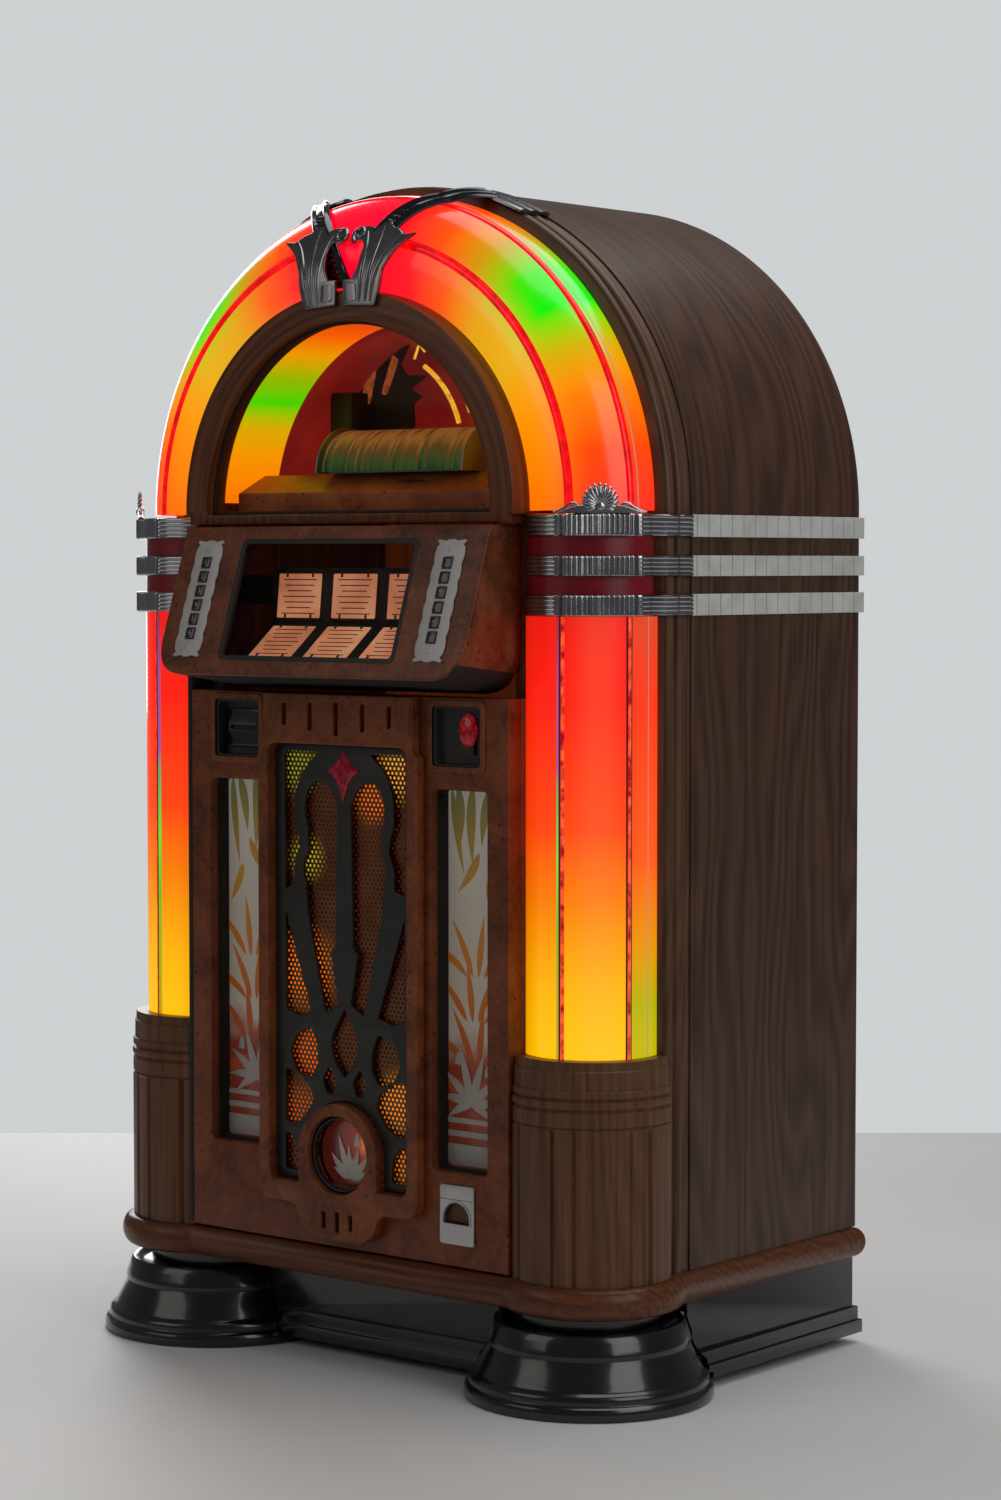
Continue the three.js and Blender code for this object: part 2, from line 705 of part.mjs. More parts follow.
// The opening is a rounded rectangle that goes round the arched surround of the round window.
function grilleOpening(inset) {
  const half = GRILLE_HALF - inset;
  const [low, high] = GRILLE_Z;
  const surround = 70 + inset;
  const shape = new THREE.Shape();
  shape.moveTo(surround, low + inset);
  shape.lineTo(half - 12, low + inset);
  shape.quadraticCurveTo(half, low + inset, half, low + inset + 12);
  shape.lineTo(half, high - inset - 10);
  shape.quadraticCurveTo(half, high - inset, half - 10, high - inset);
  shape.lineTo(-half + 10, high - inset);
  shape.quadraticCurveTo(-half, high - inset, -half, high - inset - 10);
  shape.lineTo(-half, low + inset + 12);
  shape.quadraticCurveTo(-half, low + inset, -half + 12, low + inset);
  shape.lineTo(-surround, low + inset);
  shape.lineTo(-surround, ROUND_Z);
  shape.absarc(0, ROUND_Z, surround, Math.PI, 0, true);
  return shape;
}

function centrePanel() {
  const front = PANEL_Y;
  const back = DOOR_Y - GAP;
  const stock = facing(centrePanelShape(), front, back, 3);
  const opening = facing(grilleOpening(0), front - 5, back + 5, 6);
  const round = new THREE.Shape().absarc(0, ROUND_Z, ROUND_R, 0, Math.PI * 2);
  const pocket = facing(round, front - 5, back + 5, 6);
  const slots = [];
  for (const [x, z0, z1] of [[-94, 872, 902], [-47, 866, 903], [0, 860, 905], [47, 866, 903],
    [94, 872, 902], [-24, 194, 216], [0, 190, 218], [24, 194, 216]]) {
    slots.push(facing(rectangle(x - 3.5, x + 3.5, z0, z1, 3.4), front - 5, back + 5, 1));
  }
  return cut(stock, [opening, pocket, ...slots]);
}

// Black casting in the opening: a rim and a stem, two tall leaves with scalloped edges, a V across
// their feet and a lattice of small leaves below. These are its openings on the right half.
const CASTING_OPENINGS = [
  [[13, 772], [30, 792], [50, 797], [69, 775], [72, 747], [63, 705], [73, 670], [66, 614], [34, 482],
    [10, 497], [23, 570], [16, 585]],
  [[108, 836], [44, 836], [62, 814], [82, 790], [88, 735], [80, 705], [89, 656], [108, 648]],
  [[107, 618], [60, 484], [84, 476], [107, 484]],
  [[71, 455], [89, 426], [74, 398], [58, 395], [50, 430]],
  [[26, 406], [36, 386], [26, 378], [16, 386]],
  [[108, 392], [60, 380], [80, 328], [108, 334]],
  [[108, 317], [96, 317], [83, 300], [84, 266], [108, 266]],
];
const LOZENGE = [[0, 490], [24, 444], [0, 398], [-24, 444]];
const CASTING_Y = [DOOR_Y - 1, DOOR_Y + 6];

function decoCasting() {
  const [front, back] = CASTING_Y;
  const opening = (list) => facing(polygon(list), front - 2, back + 2);
  const mirrored = (list) => list.map(([x, z]) => [-x, z]);
  const openings = CASTING_OPENINGS.flatMap((list) => [opening(list), opening(mirrored(list))]);
  return cut(facing(grilleOpening(GAP), front, back, 6), [...openings, opening(LOZENGE)]);
}

const grilleMesh = () =>
  facing(
    rectangle(-GRILLE_HALF + GAP, GRILLE_HALF - GAP, GRILLE_Z[0] + GAP, GRILLE_Z[1] - GAP, 8),
    CASTING_Y[1] + 2,
    CASTING_Y[1] + 4,
    3,
  );

const artGlass = () =>
  facing(
    rectangle(WINDOW_X[0] + GAP, WINDOW_X[1] - GAP, WINDOW_Z[0] + GAP, WINDOW_Z[1] - GAP, 8),
    DOOR_Y + 11,
    DOOR_Y + 15,
    3,
  );

// Loudspeaker on the back of the door: flange, basket and magnet.
function woofer() {
  const front = DOOR_BACK_Y + GAP;
  const profile = [
    [0, front + 60],
    [34, front + 52],
    [104, front],
    [150, front],
    [150, front + 6],
    [118, front + 8],
    [70, front + 62],
    [66, front + 70],
    [66, front + 98],
    [0, front + 98],
  ];
  return turnedAboutY(profile, 580, 24);
}

// Coin entry: a dished plate with a slot for the coin.
function coinEntry() {
  const [x0, x1] = COIN_X;
  const [z0, z1] = COIN_Z;
  const outline = rectangle(x0 + GAP, x1 - GAP, z0 + GAP, z1 - GAP, 6);
  const tray = facing(outline, DOOR_Y + 2, DOOR_BACK_Y + 22, 3);
  const dish = facing(rectangle(x0 + 8, x1 - 8, z0 + 8, z1 - 8, 6), DOOR_Y, DOOR_Y + 14, 3);
  const slot = box(214, 220, DOOR_Y, DOOR_BACK_Y + 12, z0 + 20, z1 - 20);
  return cut(tray, [dish, slot]);
}

// Banknote unit in the matching recess on the left.
function noteUnit() {
  const [x0, x1] = COIN_X;
  const [z0, z1] = COIN_Z;
  const outline = rectangle(-x1 + GAP, -x0 - GAP, z0 + GAP, z1 - GAP, 6);
  const tray = facing(outline, DOOR_Y + 2, DOOR_BACK_Y + 22, 3);
  const dish = facing(rectangle(-x1 + 8, -x0 - 8, z0 + 8, z1 - 8, 6), DOOR_Y, DOOR_Y + 18, 3);
  return tray.subtract(dish);
}

// Coin return: a plate with an arched mouth, and the cup behind it.
const CUP_HALF = 22;
const CUP_X = 199;
const CUP_Z = [224, 252];

function coinReturn() {
  const plate = facing(rectangle(RETURN_X[0], RETURN_X[1], RETURN_Z[0], RETURN_Z[1], 3), DOOR_Y - 3.5,
    DOOR_Y - GAP, 2);
  const cup = box(RETURN_X[0] + 5, RETURN_X[1] - 5, DOOR_Y - 1, DOOR_BACK_Y, RETURN_Z[0] + 9, RETURN_Z[1] - 9);
  const mouth = new THREE.Shape();
  mouth.moveTo(CUP_X - CUP_HALF, CUP_Z[0]);
  mouth.lineTo(CUP_X + CUP_HALF, CUP_Z[0]);
  mouth.lineTo(CUP_X + CUP_HALF, CUP_Z[1] - CUP_HALF);
  mouth.absarc(CUP_X, CUP_Z[1] - CUP_HALF, CUP_HALF, 0, Math.PI);
  const hollow = facing(mouth, DOOR_Y - 6, DOOR_BACK_Y - 4, 6);
  const flapRoom = box(CUP_X - CUP_HALF - 0.6, CUP_X + CUP_HALF + 0.6, DOOR_Y + 2.6, DOOR_BACK_Y - 4,
    CUP_Z[0] - 0.6, CUP_Z[1] + 6);
  return cut(plate.add(cup), [hollow, flapRoom]);
}

function coinFlap() {
  const leaf = box(CUP_X - CUP_HALF, CUP_X + CUP_HALF, DOOR_Y + 4, DOOR_Y + 5.5, CUP_Z[0] + 1, CUP_Z[1] + 1);
  const rod = across(
    new THREE.Shape().absarc(DOOR_Y + 5.5, CUP_Z[1] + 2.5, 2.2, 0, Math.PI * 2),
    CUP_X - CUP_HALF,
    CUP_X + CUP_HALF,
    4,
  );
  return leaf.add(rod);
}

// ---------------------------------------------------------------- console
// The sloping face has its own frame: X across, Y into the console, Z up the slope, origin at the top.
const FACE = 12;

function consoleShell() {
  const sin = Math.sin(CONSOLE_TILT);
  const cos = Math.cos(CONSOLE_TILT);
  const lowY = CONSOLE_TOP_Y - CONSOLE_FACE * sin;
  const lowZ = CONSOLE_TOP_Z - CONSOLE_FACE * cos;
  const back = DOOR_BACK_Y;
  const outline = polygon([
    [back, CONSOLE_BOTTOM_Z],
    [-282, CONSOLE_BOTTOM_Z],
    [-300, CONSOLE_BOTTOM_Z + 2],
    [lowY + 8, lowZ - 9],
    [lowY + 1, lowZ - 5],
    [lowY, lowZ],
    [CONSOLE_TOP_Y, CONSOLE_TOP_Z],
    [back, CONSOLE_TOP_Z],
  ]);
  const inner = polygon([
    [back + 30, CONSOLE_BOTTOM_Z + FACE],
    [-296, CONSOLE_BOTTOM_Z + FACE + 2],
    [lowY + FACE + 4, lowZ + 6],
    [CONSOLE_TOP_Y + FACE + 1, CONSOLE_TOP_Z - FACE],
    [back + 30, CONSOLE_TOP_Z - FACE],
  ]);
  const corner = 48;
  const frontal = new THREE.Shape();
  const high = CONSOLE_TOP_Z + 1;
  frontal.moveTo(-CONSOLE_HALF, high);
  frontal.lineTo(-CONSOLE_HALF, CONSOLE_BOTTOM_Z + corner);
  frontal.absarc(-CONSOLE_HALF + corner, CONSOLE_BOTTOM_Z + corner - 1, corner, Math.PI, Math.PI * 1.5);
  frontal.absarc(CONSOLE_HALF - corner, CONSOLE_BOTTOM_Z + corner - 1, corner, Math.PI * 1.5, Math.PI * 2);
  frontal.lineTo(CONSOLE_HALF, high);
  const wedge = across(outline, -CONSOLE_HALF, CONSOLE_HALF).intersect(facing(frontal, -500, 0, 6));
  const hollow = across(inner, -CONSOLE_HALF + 14, CONSOLE_HALF - 14);
  return cut(wedge, [hollow, ...consoleCuts()]);
}

// Cuts square to the sloping face: the window and the rooms for the buttons.
function consoleCuts() {
  const corner = 38;
  const onFace = (manifold) => {
    const geometry = geometryOf(manifold).rotateX(-CONSOLE_TILT);
    return solid(geometry.translate(0, CONSOLE_TOP_Y, CONSOLE_TOP_Z));
  };
  const window = onFace(facing(rectangle(-156, 156, -188, -20, 5), -20, 26, 3));
  const rooms = [-KEYPAD_X, KEYPAD_X].map((x) => onFace(box(x - 12, x + 12, -20, 26, -166, -42)));
  const low = -CONSOLE_FACE - 12;
  const bend = new THREE.Shape();
  bend.moveTo(CONSOLE_HALF + 1, low + corner);
  bend.absarc(CONSOLE_HALF - corner, low + corner, corner, 0, -Math.PI / 2, true);
  bend.lineTo(CONSOLE_HALF - corner, low - 30);
  bend.lineTo(CONSOLE_HALF + 1, low - 30);
  const right = geometryOf(facing(bend, -20, 40, 6));
  const corners = [onFace(solid(right)), onFace(solid(right.clone().scale(-1, 1, 1)))];
  return [window, ...rooms, ...corners];
}

const consoleGlass = () => facing(rectangle(-155.4, 155.4, -187.4, -20.6, 7), 5, 8, 3);

const KEY_PITCH = 20.2;
const KEY_TOP = -53;
const KEY_HALF = 7.5;

// A scalloped plate with square holes for the keys.
function keypad(x) {
  const half = 24.5;
  const [low, high] = [-187, -21];
  const edge = [];
  const lobes = 6;
  for (let i = 0; i <= lobes * 4; i++) {
    const z = low + 8 + ((high - low - 16) * i) / (lobes * 4);
    edge.push([half - 2.5 + 2.5 * Math.cos((i / 4) * Math.PI * 2 + Math.PI), z]);
  }
  const right = [[half - 3, low], ...edge, [half - 3, high]];
  const left = right.map(([px, pz]) => [-px, pz]).reverse();
  const plate = facing(polygon([...right, ...left]), -3, -GAP);
  const holes = [];
  for (let i = 0; i < 6; i++) {
    const z = KEY_TOP - i * KEY_PITCH;
    holes.push(box(-KEY_HALF - 0.5, KEY_HALF + 0.5, -10, 10, z - KEY_HALF - 0.5, z + KEY_HALF + 0.5));
  }
  return moved(cut(plate, holes), x, 0, 0);
}

// A square key whose wider foot stays behind the plate.
function key(x, i) {
  const z = KEY_TOP - i * KEY_PITCH;
  const cap = box(x - KEY_HALF, x + KEY_HALF, -5, 4, z - KEY_HALF, z + KEY_HALF);
  const flange = box(x - KEY_HALF - 1.6, x + KEY_HALF + 1.6, GAP, 4, z - KEY_HALF - 1.6, z + KEY_HALF + 1.6);
  return cap.add(flange);
}

// ---------------------------------------------------------------- title pages
const PAGE_PITCH = 99.5;
const PAGE_HALF = 39;
const PAGE_HINGE_Y = -232;
const PAGE_HINGE_Z = 1014;
const PAGE_HEIGHT = 62;
const PAGE_LEAN = THREE.MathUtils.degToRad(6);
const PAGE_SLOPE = THREE.MathUtils.degToRad(52);

// A bent sheet: an upright back and a shelf that slopes to the front, with a lug at each end.
function pageRack() {
  const up = PAGE_HEIGHT + 8;
  const profile = [
    [4, -3],
    [4 + Math.sin(PAGE_LEAN) * up, Math.cos(PAGE_LEAN) * up],
    [6 + Math.sin(PAGE_LEAN) * up, Math.cos(PAGE_LEAN) * up],
    [6.5, -6],
    [-Math.sin(PAGE_SLOPE) * up - 1, -Math.cos(PAGE_SLOPE) * up - 8],
    [-Math.sin(PAGE_SLOPE) * up - 2, -Math.cos(PAGE_SLOPE) * up - 6],
  ].map(([y, z]) => [PAGE_HINGE_Y + y, PAGE_HINGE_Z + z]);
  const sheet = across(polygon(profile), -150, 150);
  const arms = [-1, 1].map((side) => {
    const wall = CONSOLE_HALF - 14 - GAP;
    const [x0, x1] = side < 0 ? [-wall, -148] : [148, wall];
    return box(x0, x1, PAGE_HINGE_Y + 8, PAGE_HINGE_Y + 11, PAGE_HINGE_Z + 20, PAGE_HINGE_Z + 60).add(
      box(side < 0 ? -152 : 148, side < 0 ? -148 : 152, PAGE_HINGE_Y + 5.4, PAGE_HINGE_Y + 11,
        PAGE_HINGE_Z + 20, PAGE_HINGE_Z + 60),
    );
  });
  return union([sheet, ...arms]);
}

function page(column) {
  const x = column * PAGE_PITCH;
  const rest = Math.sin(PAGE_LEAN);
  const profile = [
    [-0.8, 1],
    [-0.8 + rest * PAGE_HEIGHT, PAGE_HEIGHT],
    [0.8 + rest * PAGE_HEIGHT, PAGE_HEIGHT],
    [0.8, 1],
  ].map(([y, z]) => [PAGE_HINGE_Y + y, PAGE_HINGE_Z + z]);
  const leaf = across(polygon(profile), x - PAGE_HALF, x + PAGE_HALF);
  const rod = across(
    new THREE.Shape().absarc(PAGE_HINGE_Y, PAGE_HINGE_Z, 1.8, 0, Math.PI * 2),
    x - PAGE_HALF - 2,
    x + PAGE_HALF + 2,
    3,
  );
  return leaf.add(rod);
}

// ---------------------------------------------------------------- mechanism
// Shelf with a sloping fascia behind the title window, and the plate that closes the view behind it.
function displayStage() {
  const profile = polygon([
    [-204, 1170],
    [-196, 1170],
    [-150, 1200],
    [64, 1200],
    [64, 1212],
    [-150, 1212],
    [-204, 1182],
  ]);
  const legs = [-225, 225].map((x) => box(x - 8, x + 8, -140, 60, 1165, 1202));
  const plate = facing(archOutline(300, 1166), 62, 66, 24);
  return union([across(profile, -236, 236), plate, ...legs]);
}

// Row of discs standing in a tray, with the rail of the pick-up behind it. The discs show as fins.
const RACK_Z = 1212.4; // on the shelf
const RACK_Y = -125;
const RAIL_TOP_Z = 1224;

function discRack() {
  const disc = new THREE.Shape().absarc(RACK_Y, RACK_Z, 60, 0.02, Math.PI - 0.02);
  const fins = [];
  for (let i = 0; i < 7; i++) {
    const x = -106 + i * 38;
    fins.push(across(disc, x, x + 16, 8));
  }
  const hub = new THREE.Shape().absarc(RACK_Y, RACK_Z, 30, 0.02, Math.PI - 0.02);
  const tray = box(-112, 144, RACK_Y - 40, RACK_Y + 40, RACK_Z, RACK_Z + 6);
  const rail = box(-210, 210, -44, -28, RACK_Z, RAIL_TOP_Z);
  const ties = [-60, 100].map((x) => box(x - 8, x + 8, RACK_Y, -36, RACK_Z, RACK_Z + 6));
  return union([tray, across(hub, -108, 140, 6), rail, ...ties, ...fins]);
}

// Pick-up tower that travels along the rail.
function carriage() {
  const tower = box(-200, -160, -54, -18, RACK_Z + 8, 1330);
  return tower.subtract(box(-220, -140, -45, -27, 1200, RAIL_TOP_Z + 1));
}

// Amplifier with a finned rear.
function amplifier() {
  const body = box(-130, 130, 120, 250, BASE_Z + GAP, 262);
  const fins = [];
  for (let i = 0; i < 8; i++) {
    const x = -126 + i * 32;
    fins.push(box(x, x + 16, 249, 272, 186, 258));
  }
  return union([body, ...fins]);
}

// ---------------------------------------------------------------- assembly
const cabinet = group("cabinet", [
  ...bothSides("side_panel", sidePanel, WALNUT),
  part("shell_arch", shellArch(), WALNUT),
  part("bead_trim", beadTrim(), WALNUT),
  part("back_panel", backPanel(), PLYWOOD),
  part("mains_inlet", mainsInlet(), BLACK),
  part("base_moulding", baseMoulding(), WALNUT),
  part("plinth", plinth(), BLACK),
  ...bothSides("foot", foot, BLACK),
  ...bothSides("column", column, WALNUT),
  ...bothSides("pillar", pillar, GLOW),
  part("arch_plastic", archPlastic(), GLOW),
  ...bothSides("lamp", lamp, LAMP),
  ...bothSides("bands", bands, CHROME),
  ...bothSides("crown", crown, CHROME),
  part("front_frame", frontFrame(), WALNUT),
  part("title_arch", titleArch(), BURL),
  part("arch_glass", archGlass(), GLASS),
  part("door_hinge", hinge(DOOR_BOTTOM_Z + 4, CONSOLE_TOP_Z), STEEL),
  part("display_stage", displayStage(), RED),
  part("disc_rack", discRack(), STEEL),
  part("amplifier", amplifier(), BLACK),
]);

const lowerDoor = group("lower_door", [
  part("lower_door_panel", lowerDoorPanel(), BURL),
  part("centre_panel", centrePanel(), BURL),
  part("deco_casting", decoCasting(), BLACK),
  part("grille_mesh", grilleMesh(), MESH_METAL),
  ...bothSides("art_glass", artGlass, GLASS),
  part("woofer", woofer(), BLACK),
  part("coin_entry", coinEntry(), BLACK),
  part("note_unit", noteUnit(), BLACK),
  part("coin_return", coinReturn(), CHROME),
]);

const face = group(
  "console_face",
  [
    part("console_glass", consoleGlass(), GLASS),
    part("keypad_left", keypad(-KEYPAD_X), CHROME),
    part("keypad_right", keypad(KEYPAD_X), CHROME),
  ],
  0,
  CONSOLE_TOP_Y,
  CONSOLE_TOP_Z,
);
face.rotation.x = -CONSOLE_TILT;
for (let i = 0; i < 6; i++) {
  face.add(part("key_left_" + (i + 1), key(-KEYPAD_X, i), BLACK));
  face.add(part("key_right_" + (i + 1), key(KEYPAD_X, i), BLACK));
}

const consoleDoor = group("console", [
  part("console_shell", consoleShell(), BURL),
  part("page_rack", pageRack(), BLACK),
  face,
]);

const moving = group("moving_parts", [
  part("coin_flap", coinFlap(), STEEL),
  part("page_left", page(-1), PAPER),
  part("page_middle", page(0), PAPER),
  part("page_right", page(1), PAPER),
  part("carriage", carriage(), BLACK),
]);

const jukebox = group("jukebox", [cabinet, lowerDoor, consoleDoor, moving]);

export default jukebox;
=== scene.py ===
"""Arch-top jukebox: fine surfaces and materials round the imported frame.

Shapes are worked out in millimetres and scaled to metres when a mesh is made."""
import math

import bmesh
import bpy
from mathutils import Matrix, Vector


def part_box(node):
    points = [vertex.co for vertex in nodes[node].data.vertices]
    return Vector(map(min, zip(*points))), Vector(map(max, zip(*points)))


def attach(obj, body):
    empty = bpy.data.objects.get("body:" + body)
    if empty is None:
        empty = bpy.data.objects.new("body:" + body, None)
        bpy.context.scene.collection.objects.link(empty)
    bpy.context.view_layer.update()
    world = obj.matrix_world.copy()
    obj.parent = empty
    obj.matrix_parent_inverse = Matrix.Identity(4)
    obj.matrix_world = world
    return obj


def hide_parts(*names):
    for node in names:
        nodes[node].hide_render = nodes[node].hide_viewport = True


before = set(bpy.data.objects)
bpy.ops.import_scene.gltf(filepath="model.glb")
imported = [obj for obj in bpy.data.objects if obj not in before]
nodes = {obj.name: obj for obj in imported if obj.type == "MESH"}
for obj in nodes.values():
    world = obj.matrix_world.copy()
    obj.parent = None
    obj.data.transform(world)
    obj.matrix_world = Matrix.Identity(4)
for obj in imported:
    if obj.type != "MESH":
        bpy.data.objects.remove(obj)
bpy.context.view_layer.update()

MM = 0.001


def box_mm(node):
    """The two corners of a CAD node's box, in millimetres."""
    low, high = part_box(node)
    return Vector(low) / MM, Vector(high) / MM


# ---------------------------------------------------------------- driving sizes, mostly from the frame
GAP = 0.4
CASE_R = box_mm("side_panel_right")[1].x
BOARD = CASE_R - box_mm("side_panel_right")[0].x
CASE_FRONT, CASE_BACK = box_mm("side_panel_right")[0].y, box_mm("side_panel_right")[1].y
CASE_LOW = box_mm("side_panel_right")[0].z
SPRING = box_mm("side_panel_right")[1].z + GAP
BEAD_FRONT = box_mm("bead_trim")[0].y
FOOT = (box_mm("foot_right")[0] + box_mm("foot_right")[1]) / 2
PILLAR_X, PILLAR_Y, PILLAR_R = 345.0, -152.5, 88.0
PILLAR_FROM, PILLAR_TO = -41.0, 109.0
PILLAR_LOW, PILLAR_HIGH = box_mm("pillar_right")[0].z, box_mm("pillar_right")[1].z
TUBE_X, TUBE_Y, TUBE_R = 338.0, -140.5, 87.0
TUBE_FROM, TUBE_TO = -35.8, 100.3
PILLAR_RIDGES = (9.5, 69.5)
ARCH_RIDGES = (15.5, 70.0)
ARCH_FRONT, ARCH_BACK = box_mm("title_arch")[0].y, box_mm("title_arch")[1].y
ARCH_R = box_mm("title_arch")[1].x
ARCH_LOW = box_mm("title_arch")[0].z
SIGHT_R = 252.0
SIGHT_LOW = ARCH_LOW + 14
DOOR_LOW, DOOR_HIGH = box_mm("lower_door_panel")
PANEL_FRONT = box_mm("centre_panel")[0].y
CASTING_LOW, CASTING_HIGH = box_mm("deco_casting")
MESH_LOW, MESH_HIGH = box_mm("grille_mesh")
WINDOW_LOW, WINDOW_HIGH = box_mm("art_glass_right")
WINDOW_X, WINDOW_Z = (152.0, 248.0), (290.0, 794.0)
ART_BACK = -214.0
COIN_LOW, COIN_HIGH = box_mm("coin_entry")
RETURN_LOW, RETURN_HIGH = box_mm("coin_return")
ROUND_Z, ROUND_R = 294.5, 53.0
SURROUND_R = 70.0
BAND_LEVELS = ((1022.0, 1050.0), (1073.0, 1100.0), (1124.0, 1153.0))
SIDES = (("left", -1), ("right", 1))
DOME_STEPS = 160
AXIS = 0.01  # radius of a turned profile where it meets its axis

# The console's sloping face has its own frame: X across, Y into the console, Z up the slope.
TILT = math.radians(18.6)
FACE_TOP_Y, FACE_LENGTH = -270.5, 211.0
CONSOLE_LOW, CONSOLE_HIGH = box_mm("console_shell")
FACE = Matrix.Translation((0, FACE_TOP_Y, CONSOLE_HIGH.z)) @ Matrix.Rotation(-TILT, 4, "X")


# ---------------------------------------------------------------- mesh tools
def skin(bm, rows, ring=True, loop=False, caps=True):
    """Quads over rows of points. ring closes each row, loop joins the last row to the first."""
    grid = [[bm.verts.new(point) for point in row] for row in rows]
    count = len(rows[0])
    for i in range(len(rows) if loop else len(rows) - 1):
        near, far = grid[i], grid[(i + 1) % len(rows)]
        for j in range(count if ring else count - 1):
            k = (j + 1) % count
            bm.faces.new((near[j], near[k], far[k], far[j]))
    if caps and ring and not loop:
        bm.faces.new(grid[0][::-1])
        bm.faces.new(grid[-1])


def mirrored(bm, side):
    """The right-hand mesh as it is, or turned into the left-hand one."""
    if side < 0:
        bmesh.ops.scale(bm, vec=(-1, 1, 1), verts=bm.verts)
        bmesh.ops.reverse_faces(bm, faces=bm.faces)
    return bm


def placed(name, data):
    """A new object in the scene with the given mesh, curve, lamp or camera."""
    made = bpy.data.objects.new(name, data)
    bpy.context.scene.collection.objects.link(made)
    return made


def piece(name, bm, look, body, replaced=(), angle=35.0):
    """A finished object from a mesh in millimetres, riding on a body."""
    bmesh.ops.remove_doubles(bm, verts=bm.verts, dist=0.01)
    bmesh.ops.dissolve_degenerate(bm, edges=bm.edges, dist=0.005)
    bmesh.ops.recalc_face_normals(bm, faces=bm.faces)
    bmesh.ops.scale(bm, vec=(MM, MM, MM), verts=bm.verts)
    mesh = bpy.data.meshes.new(name)
    bm.to_mesh(mesh)
    bm.free()
    for polygon in mesh.polygons:
        polygon.use_smooth = True
    mesh.set_sharp_from_angle(angle=math.radians(angle))
    made = placed(name, mesh)
    made.data.materials.append(look)
    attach(made, body)
    if replaced:
        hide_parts(*replaced)
    return made


def arc(x, z, radius, start, end, steps=24):
    """Points of a circular arc; angles in degrees from +X towards the second axis."""
    turns = [math.radians(start + (end - start) * i / steps) for i in range(steps + 1)]
    return [(x + radius * math.cos(turn), z + radius * math.sin(turn)) for turn in turns]


def rounded(points, radius, steps=5):
    """A closed outline with each corner rounded by a short curve."""
    made = []
    count = len(points)
    for i, corner in enumerate(points):
        here = Vector(corner[:2])
        before = Vector(points[i - 1][:2]) - here
        after = Vector(points[(i + 1) % count][:2]) - here
        size = corner[2] if len(corner) > 2 else radius
        reach = min(size, before.length * 0.45, after.length * 0.45)
        start, end = here + before.normalized() * reach, here + after.normalized() * reach
        for k in range(steps + 1):
            t = k / steps
            made.append(tuple(start * (1 - t) ** 2 + here * 2 * t * (1 - t) + end * t ** 2))
    return made


def rectangle(x0, x1, z0, z1, radius=0.0):
    corners = [(x0, z0), (x1, z0), (x1, z1), (x0, z1)]
    return rounded(corners, radius * 1.3) if radius else corners


def plate(loops, front, back, bevel=1.0, steps=2):
    """A flat plate with holes and rounded edges, standing in X and Z from front to back."""
    curve = bpy.data.curves.new("plate", "CURVE")
    curve.dimensions = "2D"
    curve.fill_mode = "BOTH"
    curve.extrude = max((back - front) / 2 - bevel, 0.01)
    curve.bevel_depth = bevel
    curve.bevel_resolution = steps
    curve.offset = -bevel
    for loop in loops:
        spline = curve.splines.new("POLY")
        spline.points.add(len(loop) - 1)
        for point, (x, z) in zip(spline.points, loop):
            point.co = (x, z, 0, 1)
        spline.use_cyclic_u = True
    made = placed("plate", curve)
    bpy.context.view_layer.update()
    mesh = bpy.data.meshes.new_from_object(made.evaluated_get(bpy.context.evaluated_depsgraph_get()))
    bm = bmesh.new()
    bm.from_mesh(mesh)
    bpy.data.objects.remove(made)
    bpy.data.curves.remove(curve)
    bpy.data.meshes.remove(mesh)
    middle = (front + back) / 2
    bm.transform(Matrix.Translation((0, middle, 0)) @ Matrix.Rotation(math.pi / 2, 4, "X"))
    return bm


def merged(*meshes):
    """Several meshes in one."""
    total = bmesh.new()
    for bm in meshes:
        mesh = bpy.data.meshes.new("part")
        bm.to_mesh(mesh)
        total.from_mesh(mesh)
        bm.free()
        bpy.data.meshes.remove(mesh)
    return total


def lathe(profile, x, y, segments=96):
    """A profile of radius and height turned about an upright axis."""
    bm = bmesh.new()
    rows = []
    for i in range(segments):
        turn = 2 * math.pi * i / segments
        rows.append([(x + r * math.cos(turn), y + r * math.sin(turn), z) for r, z in profile])
    skin(bm, rows, ring=False, loop=True)
    return bm


def lathe_about_y(profile, x, z, segments=64):
    """A profile of radius and Y turned about a fore-and-aft axis."""
    bm = bmesh.new()
    rows = []
    for i in range(segments):
        turn = 2 * math.pi * i / segments
        rows.append([(x + r * math.cos(turn), y, z + r * math.sin(turn)) for r, y in profile])
    skin(bm, rows, ring=False, loop=True)
    return bm


def inset(outline, distance):
    """A closed plan moved inwards by a distance, with mitred corners; the plan runs anticlockwise."""
    made = []
    count = len(outline)
    for i in range(count):
        here = Vector(outline[i])
        into = (here - Vector(outline[i - 1])).normalized()
        away = (Vector(outline[(i + 1) % count]) - here).normalized()
        normal = Vector((-into.y - away.y, into.x + away.x)).normalized()
        scale = max(normal.dot(Vector((-into.y, into.x))), 0.4)
        made.append(here + normal * distance / scale)
    return made


def stack(outline, levels):
    """Rings of one plan, one at each level of (inset, height)."""
    bm = bmesh.new()
    skin(bm, [[(p[0], p[1], z) for p in inset(outline, depth)] for depth, z in levels])
    return bm


